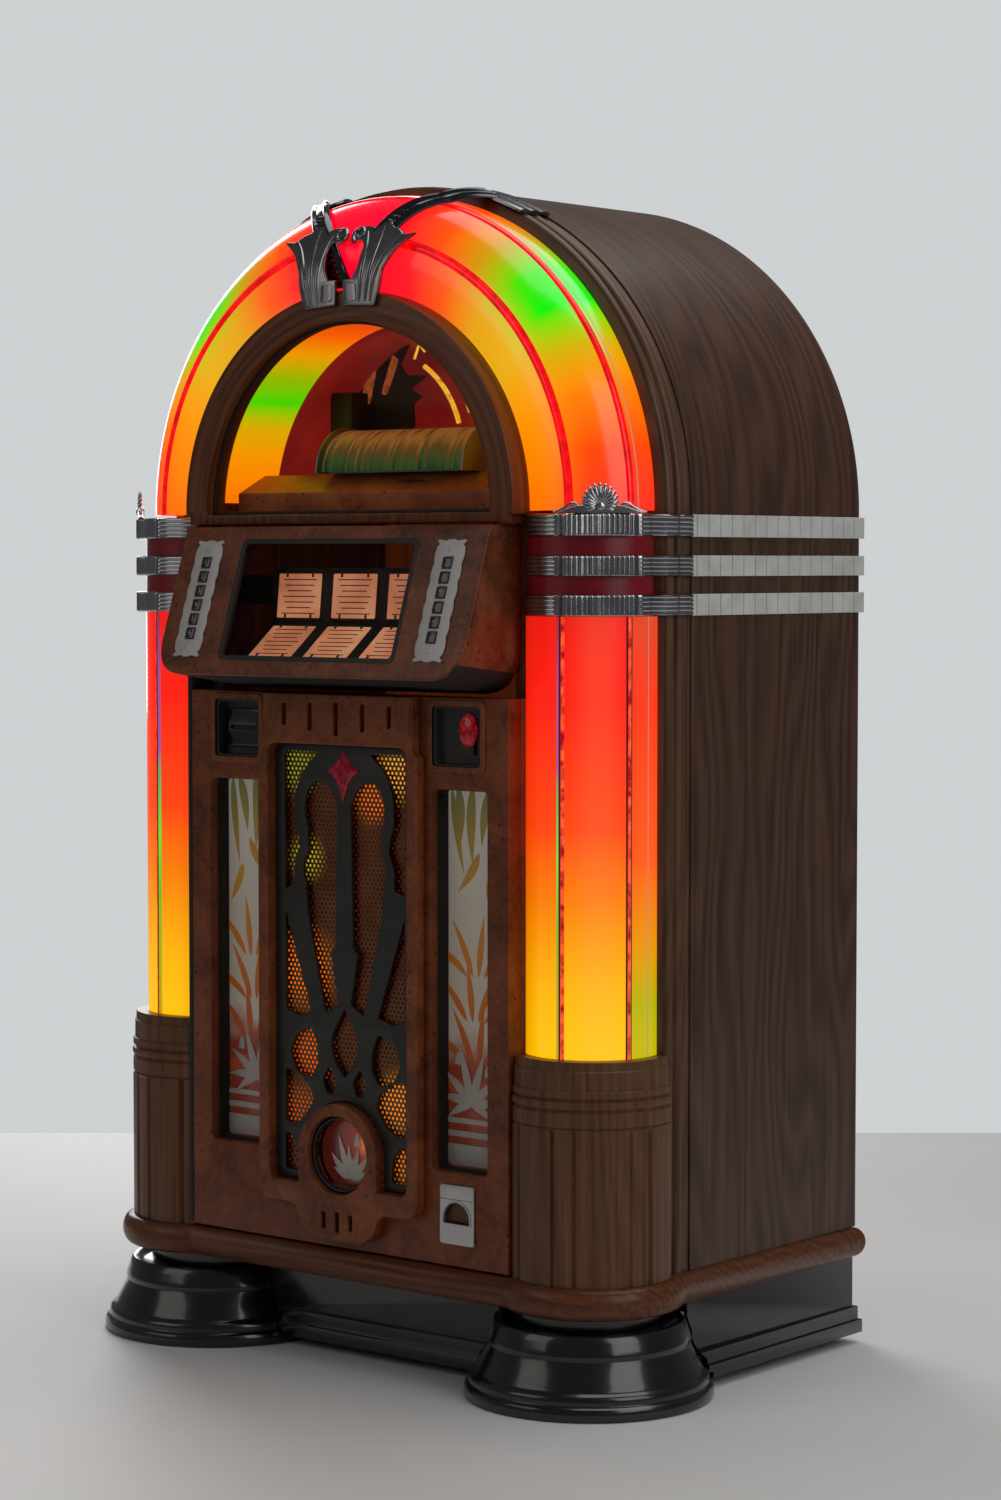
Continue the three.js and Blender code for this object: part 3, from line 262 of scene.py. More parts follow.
def refined(node, bevel=0.8, segments=2):
    """A copy of a CAD node's mesh in millimetres with its flat faces merged and its edges rounded."""
    bm = bmesh.new()
    bm.from_mesh(nodes[node].data)
    bmesh.ops.scale(bm, vec=(1 / MM, 1 / MM, 1 / MM), verts=bm.verts)
    bmesh.ops.remove_doubles(bm, verts=bm.verts, dist=0.01)
    bmesh.ops.dissolve_limit(bm, angle_limit=math.radians(1.0), verts=bm.verts, edges=bm.edges)
    sharp = [e for e in bm.edges if len(e.link_faces) == 2 and e.calc_face_angle(0) > math.radians(40)]
    bmesh.ops.bevel(bm, geom=sharp, offset=bevel, segments=segments, profile=0.5, affect="EDGES",
                    clamp_overlap=True)
    return bm


def tube(bm, points, radii, sides=12):
    """A round bar along points, with a radius at each."""
    rows = []
    for i, here in enumerate(points):
        here = Vector(here)
        ahead = Vector(points[min(i + 1, len(points) - 1)]) - Vector(points[max(i - 1, 0)])
        across = ahead.cross(Vector((0, 1, 0)))
        across = across.normalized() if across.length > 1e-6 else Vector((1, 0, 0))
        up = across.cross(ahead).normalized()
        rows.append([here + (across * math.cos(2 * math.pi * k / sides)
                             + up * math.sin(2 * math.pi * k / sides)) * radii[i] for k in range(sides)])
    skin(bm, rows)


def bezier(p0, p1, p2, steps=12):
    """Points of a quadratic curve."""
    p0, p1, p2 = Vector(p0), Vector(p1), Vector(p2)
    ts = [i / steps for i in range(steps + 1)]
    return [p0 * (1 - t) ** 2 + p1 * 2 * t * (1 - t) + p2 * t ** 2 for t in ts]


def around(x, y, radius, angle):
    """A plan point about an upright axis; the angle runs from straight ahead to the outside."""
    turn = math.radians(angle)
    return x + radius * math.sin(turn), y - radius * math.cos(turn)


# ---------------------------------------------------------------- material tools
def new_material(name, **values):
    """A node material; values are inputs of its Principled shader."""
    look = bpy.data.materials.new(name)
    look.use_nodes = True
    shader = look.node_tree.nodes["Principled BSDF"]
    for socket, value in values.items():
        socket = socket.replace("_", " ")
        if "Color" in socket or "Tint" in socket:
            value = (*value, 1)
        shader.inputs[socket].default_value = value
    return look, look.node_tree, shader


def node(tree, kind, inputs=None, **settings):
    """A shader node; inputs are numbers, colours or the outputs of other nodes."""
    made = tree.nodes.new("ShaderNode" + kind)
    for name, value in settings.items():
        setattr(made, name, value)
    for socket, value in (inputs or {}).items():
        if isinstance(value, bpy.types.Node):
            value = value.outputs[0]
        if isinstance(value, bpy.types.NodeSocket):
            tree.links.new(value, made.inputs[socket])
        else:
            made.inputs[socket].default_value = value
    return made


def object_place(tree):
    """The shaded point in the frame, in metres."""
    return node(tree, "TexCoord").outputs["Object"]


def math_node(tree, operation, *values):
    return node(tree, "Math", dict(enumerate(values)), operation=operation)


def ramp(tree, factor, stops):
    """A colour ramp from (place, colour) pairs."""
    made = node(tree, "ValToRGB", {"Fac": factor})
    elements = made.color_ramp.elements
    while len(elements) < len(stops):
        elements.new(0.5)
    for element, (place, colour) in zip(elements, stops):
        element.position = place
        element.color = (*colour, 1)
    return made


def mix(tree, factor, first, second, blend="MIX"):
    """A colour mix of colours, sockets or nodes."""
    made = node(tree, "Mix", data_type="RGBA", blend_type=blend)
    for socket, value in ((0, factor), (6, first), (7, second)):
        if isinstance(value, bpy.types.Node):
            value = value.outputs[2] if value.bl_idname == "ShaderNodeMix" else value.outputs[0]
        if isinstance(value, bpy.types.NodeSocket):
            tree.links.new(value, made.inputs[socket])
        elif socket == 0:
            made.inputs[socket].default_value = value
        else:
            made.inputs[socket].default_value = (*value, 1)
    return made


def mixed(made):
    return made.outputs[2]


def position(tree):
    """X, Y and Z of a surface point in the object's own frame, in metres."""
    return node(tree, "SeparateXYZ", {0: object_place(tree)})


def noise(tree, vector, scale, detail=4.0, roughness=0.55, distortion=0.0):
    return node(tree, "TexNoise", {"Vector": vector, "Scale": scale, "Detail": detail,
                                   "Roughness": roughness, "Distortion": distortion})


def scaled(tree, vector, x, y, z):
    return node(tree, "VectorMath", {0: vector, 1: (x, y, z)}, operation="MULTIPLY")


def bump(tree, shader, height, strength=0.2, distance=0.001):
    made = node(tree, "Bump", {"Height": height, "Strength": strength, "Distance": distance})
    tree.links.new(made.outputs[0], shader.inputs["Normal"])


def near(tree, value, centre, half):
    """One where a value lies within half of a centre, otherwise nothing."""
    away = math_node(tree, "ABSOLUTE", math_node(tree, "SUBTRACT", value, centre))
    return math_node(tree, "LESS_THAN", away, half)


def bearing(tree, across, ahead):
    """Degrees from straight ahead (-Y) to the outside, from two offsets."""
    return math_node(tree, "MULTIPLY", math_node(tree, "ARCTAN2", across, ahead), 180 / math.pi)


# ---------------------------------------------------------------- wood
def wood(name, along, light, middle, dark, roughness, grain=1.0, figured=1.0):
    """Figured veneer. along says which way the grain runs: case, upright, across or round."""
    look, tree, shader = new_material(name, Roughness=roughness, Specular_IOR_Level=0.22,
                                      Coat_Weight=0.06, Coat_Roughness=0.2)
    xyz = position(tree)
    x, y, z = xyz.outputs
    if along == "case":
        # up the side panels and then on round the arch
        height = math_node(tree, "MAXIMUM", math_node(tree, "SUBTRACT", z, SPRING * MM), 0.0)
        turn = math_node(tree, "ARCTAN2", height, math_node(tree, "ABSOLUTE", x))
        low = math_node(tree, "MINIMUM", z, SPRING * MM)
        length = math_node(tree, "ADD", low, math_node(tree, "MULTIPLY", turn, CASE_R * MM))
        vector = node(tree, "CombineXYZ", {0: 0.0, 1: y, 2: length})
    elif along == "across":
        vector = node(tree, "CombineXYZ", {0: y, 1: z, 2: x})
    elif along == "round":
        turn = math_node(tree, "ARCTAN2", math_node(tree, "SUBTRACT", z, SPRING * MM), x)
        out = math_node(tree, "POWER", math_node(tree, "ADD", math_node(tree, "MULTIPLY", x, x),
                        math_node(tree, "POWER", math_node(tree, "SUBTRACT", z, SPRING * MM), 2.0)), 0.5)
        length = math_node(tree, "MULTIPLY", turn, ARCH_R * MM)
        vector = node(tree, "CombineXYZ", {0: y, 1: out, 2: length})
    else:
        vector = node(tree, "CombineXYZ", {0: x, 1: y, 2: z})
    # cathedral figure: a slow wander bends the bands across the board
    wander = noise(tree, scaled(tree, vector, 5.0, 5.0, 0.9), 1.0, 2.0)
    across = node(tree, "SeparateXYZ", {0: vector})
    width = math_node(tree, "ADD", across.outputs[0], across.outputs[1])
    phase = math_node(tree, "ADD", math_node(tree, "MULTIPLY", width, 34.0 * grain),
                      math_node(tree, "MULTIPLY", wander, 14.0))
    figure = math_node(tree, "MULTIPLY_ADD", math_node(tree, "SINE", math_node(tree, "MULTIPLY", phase, 6.0)),
                       0.5, 0.5)
    fibre = noise(tree, scaled(tree, vector, 900.0, 900.0, 14.0), 1.0, 3.0, 0.6)
    streak = noise(tree, scaled(tree, vector, 150.0, 150.0, 2.2), 1.0, 4.0, 0.6)
    total = math_node(tree, "ADD", math_node(tree, "MULTIPLY", figure, 0.10 * figured),
                      math_node(tree, "ADD", math_node(tree, "MULTIPLY", streak, 0.5),
                                math_node(tree, "MULTIPLY", fibre, 0.28)))
    colour = ramp(tree, total, [(0.30, dark), (0.47, middle), (0.64, light)])
    tree.links.new(colour.outputs[0], shader.inputs["Base Color"])
    bump(tree, shader, fibre, 0.12, 0.0004)
    return look


def burl(name, light, middle, dark, roughness=0.33):
    """Burr veneer: soft blotches with small dark eyes and pores."""
    look, tree, shader = new_material(name, Roughness=roughness, Specular_IOR_Level=0.25,
                                      Coat_Weight=0.08, Coat_Roughness=0.15)
    place = object_place(tree)
    cloud = noise(tree, place, 9.0, 5.0, 0.62, 1.2)
    swirl = noise(tree, place, 42.0, 4.0, 0.6, 2.5)
    total = math_node(tree, "MULTIPLY_ADD", swirl, 0.35, math_node(tree, "MULTIPLY", cloud, 0.65))
    ground = ramp(tree, total, [(0.34, dark), (0.5, middle), (0.66, light)])
    eyes = node(tree, "TexVoronoi", {"Vector": place, "Scale": 70.0, "Randomness": 1.0})
    spot = math_node(tree, "LESS_THAN", eyes, 0.17)
    cluster = math_node(tree, "GREATER_THAN", noise(tree, place, 11.0, 2.0), 0.55)
    marks = math_node(tree, "MULTIPLY", math_node(tree, "MULTIPLY", spot, cluster), 0.75)
    tree.links.new(mixed(mix(tree, marks, ground, (dark[0] * 0.35, dark[1] * 0.3, dark[2] * 0.3))),
                   shader.inputs["Base Color"])
    bump(tree, shader, swirl, 0.05, 0.0004)
    return look


# ---------------------------------------------------------------- metals, paints and plastics
def worn(name, colour, roughness, metallic=0.0, spread=0.08, scale=30.0, coat=0.0, height=0.03):
    """A plain finish whose gloss and tone vary a little over the surface."""
    look, tree, shader = new_material(name, Metallic=metallic, Coat_Weight=coat, Coat_Roughness=0.08)
    place = object_place(tree)
    cloud = noise(tree, place, scale, 5.0, 0.6)
    gloss = node(tree, "MapRange", {0: cloud, 1: 0.3, 2: 0.7, 3: max(roughness - spread, 0.02),
                                    4: roughness + spread})
    tree.links.new(gloss.outputs[0], shader.inputs["Roughness"])
    shade = tuple(c * 0.82 for c in colour)
    tree.links.new(ramp(tree, cloud, [(0.35, shade), (0.65, colour)]).outputs[0],
                   shader.inputs["Base Color"])
    if height:
        bump(tree, shader, noise(tree, place, scale * 25, 2.0), height, 0.0003)
    return look


def brushed(name, colour, direction):
    """Metal with fine lines; direction gives how much each axis is squeezed."""
    look, tree, shader = new_material(name, Metallic=1.0)
    place = object_place(tree)
    lines = noise(tree, scaled(tree, place, *direction), 1.0, 3.0, 0.7)
    gloss = node(tree, "MapRange", {0: lines, 1: 0.3, 2: 0.7, 3: 0.26, 4: 0.46})
    tree.links.new(gloss.outputs[0], shader.inputs["Roughness"])
    tree.links.new(ramp(tree, lines, [(0.3, tuple(c * 0.8 for c in colour)), (0.7, colour)]).outputs[0],
                   shader.inputs["Base Color"])
    bump(tree, shader, lines, 0.05, 0.0002)
    return look


def clear(name, tint, alpha, roughness=0.03):
    """A pane seen through, with its gloss."""
    look, tree, shader = new_material(name, Base_Color=tint, Alpha=alpha, Roughness=roughness,
                                      Coat_Roughness=0.02)
    dust = noise(tree, object_place(tree), 60.0, 3.0)
    bump(tree, shader, dust, 0.01, 0.0003)
    return look


def glow(tree, shader, colour, strength):
    """Lights a surface with a colour that is also its paint."""
    out = colour.outputs[2] if colour.bl_idname == "ShaderNodeMix" else colour.outputs[0]
    tree.links.new(out, shader.inputs["Emission Color"])
    shader.inputs["Emission Strength"].default_value = strength
    tree.links.new(mixed(mix(tree, 0.75, out, (0.0, 0.0, 0.0))), shader.inputs["Base Color"])


RED_LIGHT = (1.0, 0.0, 0.03)
BUBBLES = 55.0


def arch_light():
    """The lit arch: two bands of colour round the arch, blended from its inner to its outer side."""
    look, tree, shader = new_material("lit arch", Roughness=0.2, Specular_IOR_Level=0.4, Coat_Weight=0.15,
                                      Coat_Roughness=0.05)
    x, y, z = position(tree).outputs
    side = math_node(tree, "ABSOLUTE", x)
    height = math_node(tree, "SUBTRACT", z, SPRING * MM)
    turn = math_node(tree, "DIVIDE", math_node(tree, "ARCTAN2", height, side), math.pi / 2)
    out = math_node(tree, "POWER", math_node(tree, "ADD", math_node(tree, "POWER", side, 2.0),
                    math_node(tree, "POWER", height, 2.0)), 0.5)
    minor = bearing(tree, math_node(tree, "SUBTRACT", out, TUBE_X * MM),
                    math_node(tree, "SUBTRACT", TUBE_Y * MM, y))
    inner = ramp(tree, turn, [(0.0, (1.0, 0.17, 0.0)), (0.22, (1.0, 0.28, 0.0)), (0.40, (0.80, 0.42, 0.01)),
                              (0.55, (0.78, 0.36, 0.01)), (0.68, (0.95, 0.10, 0.01)),
                              (0.80, (1.0, 0.015, 0.02)), (1.0, RED_LIGHT)])
    outer = ramp(tree, turn, [(0.0, (1.0, 0.03, 0.012)), (0.12, (1.0, 0.06, 0.0)), (0.24, (1.0, 0.20, 0.0)),
                              (0.34, (0.62, 0.40, 0.0)), (0.44, (0.0, 0.80, 0.0)), (0.53, (0.05, 0.72, 0.0)),
                              (0.63, (0.55, 0.32, 0.0)), (0.75, (1.0, 0.08, 0.0)), (0.88, (1.0, 0.0, 0.02)),
                              (1.0, RED_LIGHT)])
    share = node(tree, "MapRange", {0: minor, 1: -8.0, 2: 42.0, 3: 0.0, 4: 1.0},
                 interpolation_type="SMOOTHSTEP")
    field = mix(tree, share, inner, outer)
    flicker = noise(tree, object_place(tree), BUBBLES, 3.0)
    stripe = ramp(tree, flicker, [(0.35, (0.62, 0.0, 0.003)), (0.65, (1.0, 0.004, 0.006))])
    for centre, half in ((ARCH_RIDGES[0], 4.2), (ARCH_RIDGES[1], 3.6)):
        field = mix(tree, near(tree, minor, centre, half), field, stripe)
    field = mix(tree, near(tree, minor, 78.0, 0.5), field, (0.28, 0.25, 0.22))
    glow(tree, shader, field, 1.0)
    return look


def pillar_light():
    """A lit pillar: yellow at its foot, red at its head, with the bubble tubes as narrow lines."""
    look, tree, shader = new_material("lit pillar", Roughness=0.2, Specular_IOR_Level=0.4,
                                      Coat_Weight=0.15, Coat_Roughness=0.05)
    x, y, z = position(tree).outputs
    minor = bearing(tree, math_node(tree, "SUBTRACT", math_node(tree, "ABSOLUTE", x), PILLAR_X * MM),
                    math_node(tree, "SUBTRACT", PILLAR_Y * MM, y))
    rise = node(tree, "MapRange", {0: z, 1: PILLAR_LOW * MM, 2: PILLAR_HIGH * MM}).outputs[0]
    main = ramp(tree, rise, [(0.0, (1.0, 0.54, 0.0)), (0.16, (0.95, 0.44, 0.0)), (0.36, (0.92, 0.20, 0.0)),
                             (0.52, (1.0, 0.06, 0.004)), (0.8, (1.0, 0.014, 0.005)),
                             (1.0, (0.80, 0.01, 0.005))])
    edge = ramp(tree, rise, [(0.0, (0.55, 0.45, 0.0)), (0.12, (0.45, 0.42, 0.0)), (0.24, (0.75, 0.30, 0.0)),
                             (0.45, (0.95, 0.10, 0.01)), (0.8, (0.95, 0.04, 0.01)), (1.0, (0.7, 0.06, 0.02))])
    outside = math_node(tree, "GREATER_THAN", minor, PILLAR_RIDGES[1])
    field = mix(tree, outside, main, edge)
    # the lamp shows as a paler core
    core = node(tree, "MapRange", {0: math_node(tree, "ABSOLUTE", math_node(tree, "SUBTRACT", minor, 42.0)),
                                   1: 0.0, 2: 30.0, 3: 0.06, 4: 0.0}, interpolation_type="SMOOTHSTEP")
    field = mix(tree, core, field, (1.0, 0.55, 0.25))
    # painted shade: darker red towards the pillar's inner edge
    shade = node(tree, "MapRange", {0: minor, 1: -41.0, 2: -12.0, 3: 0.35, 4: 0.0})
    field = mix(tree, shade, field, (0.45, 0.02, 0.0))
    bubble = noise(tree, object_place(tree), BUBBLES, 3.0)
    liquid = ramp(tree, rise, [(0.0, (0.55, 0.30, 0.0)), (0.3, (0.12, 0.5, 0.02)), (0.45, (0.05, 0.85, 0.05)),
                               (0.6, (0.05, 0.45, 0.15)), (0.66, (0.25, 0.10, 0.40)),
                               (0.85, (0.30, 0.08, 0.32)), (1.0, (0.35, 0.02, 0.05))])
    hot = ramp(tree, bubble, [(0.38, (0.35, 0.0, 0.01)), (0.6, (1.0, 0.10, 0.03))])
    dark = (0.05, 0.005, 0.004)
    first, second = PILLAR_RIDGES
    lines = ((first - 2.2, 1.2, liquid), (first + 0.2, 0.9, dark), (first + 2.6, 1.4, hot),
             (second - 2.2, 0.7, dark), (second, 1.4, hot), (second + 2.4, 0.8, dark),
             (92.0, 0.5, (0.30, 0.26, 0.20)))
    for centre, half, colour in lines:
        field = mix(tree, near(tree, minor, centre, half), field, colour)
    glow(tree, shader, field, 1.0)
    return look


def page_paper():
    """A title card with the light of a warm lamp painted on it as a glow."""
    look, tree, shader = new_material("title card", Roughness=0.6)
    place = object_place(tree)
    cloud = noise(tree, place, 14.0, 3.0)
    colour = ramp(tree, cloud, [(0.35, (0.62, 0.20, 0.09)), (0.6, (0.85, 0.33, 0.17)),
                                (0.8, (0.95, 0.50, 0.22))])
    glow(tree, shader, colour, 0.55)
    return look


def grille_light():
    """The panel behind the grille, with its lamp light painted on as a glow: warm pools of light at the
    corners and dark red between them.
    """
    look, tree, shader = new_material("grille light", Roughness=0.5)
    place = object_place(tree)
    field = noise(tree, place, 7.0, 2.0)
    ground = ramp(tree, field, [(0.35, (0.03, 0.002, 0.001)), (0.65, (0.10, 0.009, 0.002))])
    # each painted pool of light: centre in X and Z, reach, colour
    light_pools = ((-0.095, 0.815, 0.050, (0.30, 0.34, 0.02)), (0.085, 0.815, 0.055, (1.0, 0.42, 0.04)),
               (-0.080, 0.690, 0.040, (0.55, 0.42, 0.02)), (-0.085, 0.540, 0.075, (1.0, 0.20, 0.01)),
               (0.040, 0.775, 0.045, (1.0, 0.16, 0.01)), (-0.070, 0.425, 0.050, (0.95, 0.12, 0.01)),
               (0.085, 0.370, 0.055, (1.0, 0.28, 0.02)), (0.100, 0.290, 0.045, (0.9, 0.20, 0.01)),
               (-0.090, 0.340, 0.055, (0.6, 0.08, 0.01)), (0.020, 0.300, 0.035, (0.9, 0.16, 0.01)))
    x, _, z = position(tree).outputs
    for px, pz, reach, colour in light_pools:
        away = node(tree, "VectorMath", {0: node(tree, "CombineXYZ", {0: x, 1: 0.0, 2: z}),
                                         1: (px, 0.0, pz)}, operation="DISTANCE")
        share = node(tree, "MapRange", {0: away.outputs["Value"], 1: reach * 0.25, 2: reach, 3: 1.0, 4: 0.0},
                     interpolation_type="SMOOTHSTEP")
        ground = mix(tree, share, ground, colour)
    glow(tree, shader, ground, 0.85)
    return look


def window_rise(tree):
    """Height in the art windows, from nought at the foot to one at the top."""
    z = position(tree).outputs[2]
    return node(tree, "MapRange", {0: z, 1: WINDOW_LOW.z * MM, 2: WINDOW_HIGH.z * MM}).outputs[0]


def backlit(tree, shader, colour, strength):
    """Paint with a little light coming through it."""
    for socket in ("Base Color", "Emission Color"):
        tree.links.new(colour.outputs[0], shader.inputs[socket])
    shader.inputs["Emission Strength"].default_value = strength


def art_ground():
    """Frosted glass: ivory above, rust towards the foot."""
    look, tree, shader = new_material("art glass", Roughness=0.35, Coat_Weight=0.4)
    rise = window_rise(tree)
    cloud = noise(tree, object_place(tree), 26.0, 3.0)
    wander = math_node(tree, "MULTIPLY", math_node(tree, "SUBTRACT", cloud, 0.5), 0.12)
    colour = ramp(tree, math_node(tree, "ADD", rise, wander),
                  [(0.0, (0.16, 0.025, 0.012)), (0.28, (0.22, 0.03, 0.012)), (0.36, (0.42, 0.35, 0.28)),
                   (1.0, (0.50, 0.47, 0.40))])
    backlit(tree, shader, colour, 0.25)
    return look


def leaf_paint():
    """Enamel on the art glass: rust low down, amber half way, olive at the top."""
    look, tree, shader = new_material("leaf enamel", Roughness=0.4)
    colour = ramp(tree, window_rise(tree), [(0.25, (0.34, 0.05, 0.015)), (0.5, (0.50, 0.15, 0.02)),
                                            (0.72, (0.50, 0.24, 0.03)), (0.95, (0.22, 0.20, 0.06))])
    backlit(tree, shader, colour, 0.2)
    return look


def lit_wall():
    """The red wall behind the discs, with lamp light painted on it as a glow that is brighter in soft clouds.
    """
    look, tree, shader = new_material("red wall", Roughness=0.5)
    place = object_place(tree)
    cloud = noise(tree, place, 6.0, 3.0)
    glow(tree, shader, ramp(tree, cloud, [(0.35, (0.11, 0.003, 0.003)), (0.65, (0.22, 0.010, 0.006))]), 0.9)
    return look


def disc_look():
    """Compact discs on edge: dark metal with green light painted on low down and amber light above, as a
    glow.
    """
    look, tree, shader = new_material("disc", Metallic=0.7, Roughness=0.3)
    place = object_place(tree)
    cloud = noise(tree, scaled(tree, place, 320.0, 3.0, 3.0), 1.0, 2.0)
    rise = node(tree, "MapRange", {0: position(tree).outputs[2], 1: 1.212, 2: 1.272}).outputs[0]
    tone = math_node(tree, "ADD", math_node(tree, "MULTIPLY", cloud, 0.6),
                     math_node(tree, "MULTIPLY", rise, 0.5))
    colour = ramp(tree, tone, [(0.25, (0.02, 0.06, 0.02)), (0.42, (0.08, 0.16, 0.04)),
                               (0.55, (0.22, 0.12, 0.03)), (0.72, (0.60, 0.26, 0.05)),
                               (0.85, (0.30, 0.06, 0.02))])
    glow(tree, shader, colour, 0.35)
    return look


def jewel_look(name, colour, strength):
    """Cut glass with the light behind it painted on as a glow, brightest at the middle of each facet and dark
    at its edges.
    """
    look, tree, shader = new_material(name, Roughness=0.15, Coat_Weight=0.2)
    facets = node(tree, "TexVoronoi", {"Vector": object_place(tree), "Scale": 130.0})
    field = ramp(tree, facets, [(0.0, tuple(min(c * 1.6 + 0.02, 1.0) for c in colour)), (0.6, colour),
                                (1.0, tuple(c * 0.3 for c in colour))])
    glow(tree, shader, field, strength)
    return look


WALNUT_TONES = ((0.110, 0.054, 0.034), (0.070, 0.034, 0.021), (0.036, 0.017, 0.011))
LOOKS = {
    "case": wood("case veneer", "case", *WALNUT_TONES, 0.42, 0.7, 1.6),
    "bead": wood("bead walnut", "case", (0.17, 0.088, 0.046), (0.11, 0.054, 0.028), (0.055, 0.026, 0.014),
                 0.34, 2.0),
    "column": wood("column walnut", "upright", (0.205, 0.094, 0.042), (0.138, 0.060, 0.027),
                   (0.072, 0.031, 0.014), 0.38, 1.2, 0.8),
    "base": wood("base walnut", "across", (0.21, 0.070, 0.028), (0.13, 0.042, 0.017), (0.06, 0.020, 0.009),
                 0.32, 1.5),
    "arch": wood("arch walnut", "round", (0.21, 0.066, 0.025), (0.14, 0.042, 0.015), (0.06, 0.018, 0.007),
                 0.36, 1.5),
    "door": burl("door burr", (0.240, 0.066, 0.022), (0.160, 0.040, 0.013), (0.070, 0.018, 0.007), 0.42),
    "panel": burl("panel burr", (0.290, 0.084, 0.028), (0.190, 0.050, 0.016), (0.075, 0.020, 0.008), 0.42),
    "console": burl("console burr", (0.250, 0.076, 0.030), (0.155, 0.043, 0.017), (0.055, 0.016, 0.008), 0.4),
    "shelf": burl("shelf burr", (0.55, 0.16, 0.03), (0.42, 0.10, 0.02), (0.20, 0.04, 0.01)),
    "plywood": wood("plywood", "upright", (0.42, 0.28, 0.15), (0.34, 0.22, 0.12), (0.24, 0.15, 0.08), 0.7),
    "lacquer": worn("black lacquer", (0.006, 0.006, 0.006), 0.22, spread=0.05, coat=0.5, height=0.0),
    "matte": worn("black paint", (0.012, 0.011, 0.010), 0.55, height=0.08),
    "inside": worn("inside black", (0.010, 0.008, 0.007), 0.8),
    "casting": worn("black casting", (0.016, 0.016, 0.015), 0.42, height=0.12),
    "chrome": worn("chrome", (0.46, 0.46, 0.48), 0.16, 1.0, 0.05, 20.0, height=0.0),
    "dull": worn("keypad plate", (0.50, 0.475, 0.47), 0.42, 0.15, height=0.04),
    "pewter": worn("soft chrome", (0.27, 0.27, 0.28), 0.24, 1.0, 0.06, 24.0, height=0.02),
    "dark_chrome": worn("smoked chrome", (0.10, 0.10, 0.11), 0.14, 1.0, 0.05, 20.0, height=0.0),
    "nickel": brushed("nickel plate", (0.56, 0.54, 0.54), (20.0, 20.0, 900.0)),
    "tile": worn("band tile", (0.66, 0.67, 0.63), 0.4, 0.1, height=0.04),
    "sleeve": worn("red sleeve", (0.240, 0.002, 0.010), 0.3, coat=0.1, height=0.0),
    "steel": worn("steel", (0.42, 0.42, 0.42), 0.3, 1.0),
    "alloy": worn("cast alloy", (0.30, 0.30, 0.31), 0.45, 1.0, height=0.1),
    "gold_mesh": worn("grille metal", (0.20, 0.12, 0.06), 0.35, 1.0, height=0.05),
    "arch_light": arch_light(),
    "pillar_light": pillar_light(),
    "tube": new_material("lamp tube", Base_Color=(0.9, 0.8, 0.6), Emission_Color=(1.0, 0.62, 0.35),
                         Emission_Strength=1.0)[0],
    "pane": clear("clear pane", (0.02, 0.018, 0.016), 0.05),
    "page": page_paper(),
    "print": worn("print", (0.10, 0.035, 0.02), 0.7),
    "grille_light": grille_light(),
    "art": art_ground(),
    "leaf": leaf_paint(),
    "ivory": worn("ivory enamel", (0.60, 0.56, 0.50), 0.4, height=0.02),
    "flap": worn("coin flap", (0.10, 0.045, 0.022), 0.45, 0.3, height=0.05),
    "marks": worn("key mark", (0.30, 0.28, 0.26), 0.5, height=0.0),
    "red_wall": lit_wall(),
    "amber": jewel_look("amber line", (1.0, 0.45, 0.02), 0.8),
    "disc": disc_look(),
    "ruby": jewel_look("ruby", (0.32, 0.0, 0.006), 0.4),
    "cone": worn("paper cone", (0.02, 0.019, 0.018), 0.8, height=0.2),
}


# ---------------------------------------------------------------- case
def board_section():
    """Section of the case boards as (depth from the outside, Y); the rear edge is well rounded."""
    front = [(0.8, CASE_FRONT), (0.0, CASE_FRONT + 0.8)]
    soft = 16.0
    rear = [(soft - soft * math.cos(a), CASE_BACK - soft + soft * math.sin(a))
            for a in [math.pi / 2 * i / 8 for i in range(9)]]
    return front + rear + [(BOARD, CASE_BACK), (BOARD, CASE_FRONT)]


def over_the_top(section):
    """Rows that carry a section of (depth from the case side, Y) over the top, from right to left."""
    rows = []
    for i in range(DOME_STEPS + 1):
        turn = math.pi * i / DOME_STEPS
        rows.append([((CASE_R - depth) * math.cos(turn), y, SPRING + (CASE_R - depth) * math.sin(turn))
                     for depth, y in section])
    return rows


def case_boards():
    section = board_section()
    for side, sign in SIDES:
        bm = bmesh.new()
        skin(bm, [[(CASE_R - depth, y, z) for depth, y in section] for z in (CASE_LOW, SPRING)])
        piece("case_side_" + side, mirrored(bm, sign), LOOKS["case"], "cabinet", ["side_panel_" + side])
    bm = bmesh.new()
    skin(bm, over_the_top(section))
    piece("case_shell", bm, LOOKS["case"], "cabinet", ["shell_arch"])


def bead_section():
    """Two round beads with a quirk between and beside them."""
    radius, steps, inside, quirk = 9.0, 12, 24.0, 7.0
    points = [(inside, BEAD_FRONT), (4.0, BEAD_FRONT), (3.0, BEAD_FRONT + 1)]
    for start in (BEAD_FRONT + 5, BEAD_FRONT + 28):
        for i in range(steps + 1):
            turn = math.pi * i / steps
            depth = radius - radius * math.sin(turn) if i not in (0, steps) else quirk
            points.append((depth, start + radius - radius * math.cos(turn)))
    return points + [(3.0, CASE_FRONT - GAP), (inside, CASE_FRONT - GAP)]


def bead_moulding():
    bm = bmesh.new()
    section = bead_section()
    right_foot = [(CASE_R - depth, y, CASE_LOW) for depth, y in section]
    left_foot = [(-CASE_R + depth, y, CASE_LOW) for depth, y in section]
    skin(bm, [right_foot] + over_the_top(section) + [left_foot])
    piece("bead_moulding", bm, LOOKS["bead"], "cabinet", ["bead_trim"], 50)


